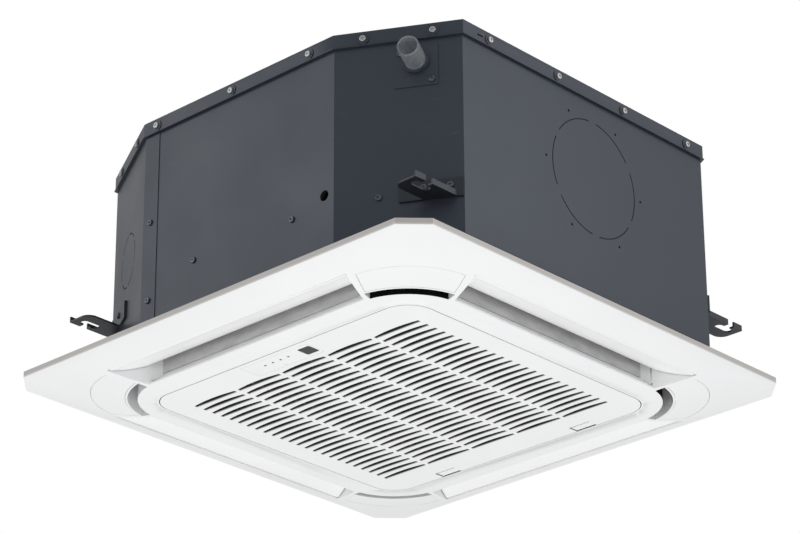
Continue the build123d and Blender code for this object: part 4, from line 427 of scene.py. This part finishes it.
# Grey painted shade in the narrow gaps round the corner lids.
groove_painted_shade = moulded("groove_painted_shade", (0.70, 0.69, 0.68), 0.6)
eased("panel_frame", white, angle=22, inside=meeting_faces,
      others=(slot_painted_shade, edge_painted_shade, groove_painted_shade), where=painted)
eased("air_guide", white, angle=22, others=(slot_painted_shade,), where=slot_wall)
eased("outlet_walls", white, angle=22)
eased("corner_lids", white, 0.0004, angle=22)

# ---- duct liners ----
# Grey felt strips glued to the inner wall of each outlet, to stop dew. They end just above the
# outlet's lip, which shows as a pale line below them.


def grey_felt():
    """Matted grey fibres, cloudy along the strip."""
    material, tree, surface = shader("grey_felt", (0.60, 0.60, 0.605), 0.9)
    tinted(tree, surface, spread(tree, grain(tree, 70.0, 6.0, (0.6, 0.6, 1.6)), 0.35, 0.65, 0.0, 1.0),
           (0.54, 0.54, 0.545), (0.66, 0.66, 0.66))
    dented(tree, surface, grain(tree, 1300.0, 5.0), 0.5, 0.0003)
    return material


LIP_HEIGHT = 0.004
strips = eased("duct_liners", grey_felt())
lowest = min(corner.co.z for corner in strips.data.vertices)
for corner in strips.data.vertices:
    if corner.co.z < lowest + 0.0005:
        corner.co.z += LIP_HEIGHT

# ---- louvres ----
# Four white flaps with fine ribs along their length and a round bead at the outer edge, which
# carries their pins.


def ribbed(name, across):
    """White plastic with fine ribs, counted across one way, with painted light that brightens it towards
    its top.
    """
    material = white_moulding(name)
    tree = material.node_tree
    # Painted light: the flaps are painted brighter towards their top.
    painted_light = spread(tree, height(tree), 0.008, 0.020, 0.0, 1.0)
    tinted_where(material, painted_light, (0.97, 0.97, 0.97))
    place = tree.nodes.new("ShaderNodeTexCoord")
    wave = tree.nodes.new("ShaderNodeTexWave")
    wave.bands_direction = across
    wave.inputs["Scale"].default_value = 165.0
    tree.links.new(place.outputs["Object"], wave.inputs["Vector"])
    dented(tree, tree.nodes["Principled BSDF"], wave.outputs["Fac"], 0.2, 0.0003)
    return material


ribs_x = ribbed("ribbed_moulding_x", "X")
ribs_y = ribbed("ribbed_moulding_y", "Y")
for side, ribs in (("front", ribs_y), ("right", ribs_x), ("back", ribs_y), ("left", ribs_x)):
    eased(f"louvre_{side}", ribs, angle=35)

# ---- intake grille, latches and display ----
# A flat white moulding with rows of curved slits, two sliding catches, and a display insert with
# four small lamps, a dark receiver window and a push button. The slits' walls turn away from the
# light, and painted shade darkens them towards the back.
grille_white = white_moulding("grille_moulding")
grille_tree = grille_white.node_tree
# Painted shade: the slits' walls darken towards the back.
slit_painted_shade = spread(grille_tree, height(grille_tree), 0.0001, 0.0012, 0.0, 1.0)
tinted_where(grille_white, slit_painted_shade, (0.022, 0.022, 0.023))
eased("intake_grille", grille_white, angle=40)
for part in ("latch_left", "latch_right", "display_insert", "manual_button"):
    eased(part, white, 0.0002)
eased("lamp_lenses", moulded("lamp_lens", (0.05, 0.012, 0.012), 0.2))
eased("receiver_lens", moulded("receiver_window", (0.012, 0.012, 0.014), 0.18), 0.0004)

# ---- air filter ----
# A grey plastic frame over a fine dark net, which lies on the back of the grille.
eased("filter_frame", grey, 0.0003)
eased("filter_mesh", moulded("filter_net", (0.006, 0.006, 0.0065), 0.9))

# ---- studio ----
# A pale floor well below the hung unit, soft lamps and a camera low down at the near corner.
FLOOR_REACH = 30.0
FLOOR_DEPTH = 5.0
floor_mesh = bpy.data.meshes.new("floor")
ground_plane = bmesh.new()
bmesh.ops.create_grid(ground_plane, x_segments=1, y_segments=1, size=FLOOR_REACH)
bmesh.ops.translate(ground_plane, verts=ground_plane.verts, vec=(0, 0, -FLOOR_DEPTH))
ground_plane.to_mesh(floor_mesh)
ground_plane.free()
floor = bpy.data.objects.new("floor", floor_mesh)
bpy.context.collection.objects.link(floor)
floor_mesh.materials.append(shader("pale_floor", (0.93, 0.93, 0.93), 0.8)[0])

world = bpy.data.worlds.new("studio")
bpy.context.scene.world = world
world.use_nodes = True
sky = world.node_tree
backdrop = sky.nodes["Background"]
backdrop.inputs["Color"].default_value = (1, 1, 1, 1)
seen = sky.nodes.new("ShaderNodeLightPath")
level = sky.nodes.new("ShaderNodeMapRange")
level.inputs["To Min"].default_value = 0.62
level.inputs["To Max"].default_value = 1.0
sky.links.new(seen.outputs["Is Camera Ray"], level.inputs["Value"])
sky.links.new(level.outputs["Result"], backdrop.inputs["Strength"])


def lamp(name, place, target, size, power):
    """A soft rectangular lamp that faces its target."""
    light = bpy.data.lights.new(name, "AREA")
    light.shape = "RECTANGLE"
    light.size, light.size_y = size
    light.energy = power
    piece = bpy.data.objects.new(name, light)
    piece.location = place
    aim = Vector(target) - Vector(place)
    piece.rotation_mode = "QUATERNION"
    piece.rotation_quaternion = aim.to_track_quat("-Z", "Y")
    bpy.context.collection.objects.link(piece)


lamp("left_softbox", (-2.2, -2.6, 1.4), (0, 0, 0.15), (1.6, 1.6), 14)
lamp("right_softbox", (2.8, 1.4, 0.9), (0, 0, 0.15), (1.4, 1.8), 24)
lamp("low_softbox", (0.25, -0.35, -1.6), (0, 0, 0), (2.4, 2.4), 21)

CAMERA_AZIMUTH = math.radians(43.08)
CAMERA_ELEVATION = math.radians(-24.99)
CAMERA_ROLL = math.radians(-0.297)
CAMERA_DISTANCE = 3.345
AIMED_AT = Vector((0.2277, -0.2436, 0.0215))
FOCAL_PIXELS = 3122.5
PICTURE_PIXELS = 800
SENSOR_MM = 36.0
level_part = math.cos(CAMERA_ELEVATION)
back = Vector((math.sin(CAMERA_AZIMUTH) * level_part, -math.cos(CAMERA_AZIMUTH) * level_part,
               math.sin(CAMERA_ELEVATION)))
lens = bpy.data.cameras.new("camera")
lens.sensor_width = SENSOR_MM
lens.lens = SENSOR_MM * FOCAL_PIXELS / PICTURE_PIXELS
camera = bpy.data.objects.new("camera", lens)
camera.location = AIMED_AT + back * CAMERA_DISTANCE
camera.rotation_mode = "QUATERNION"
camera.rotation_quaternion = (-back).to_track_quat("-Z", "Y") @ Quaternion((0, 0, 1), CAMERA_ROLL)
bpy.context.collection.objects.link(camera)
bpy.context.scene.camera = camera
bpy.context.scene.view_settings.view_transform = "Standard"
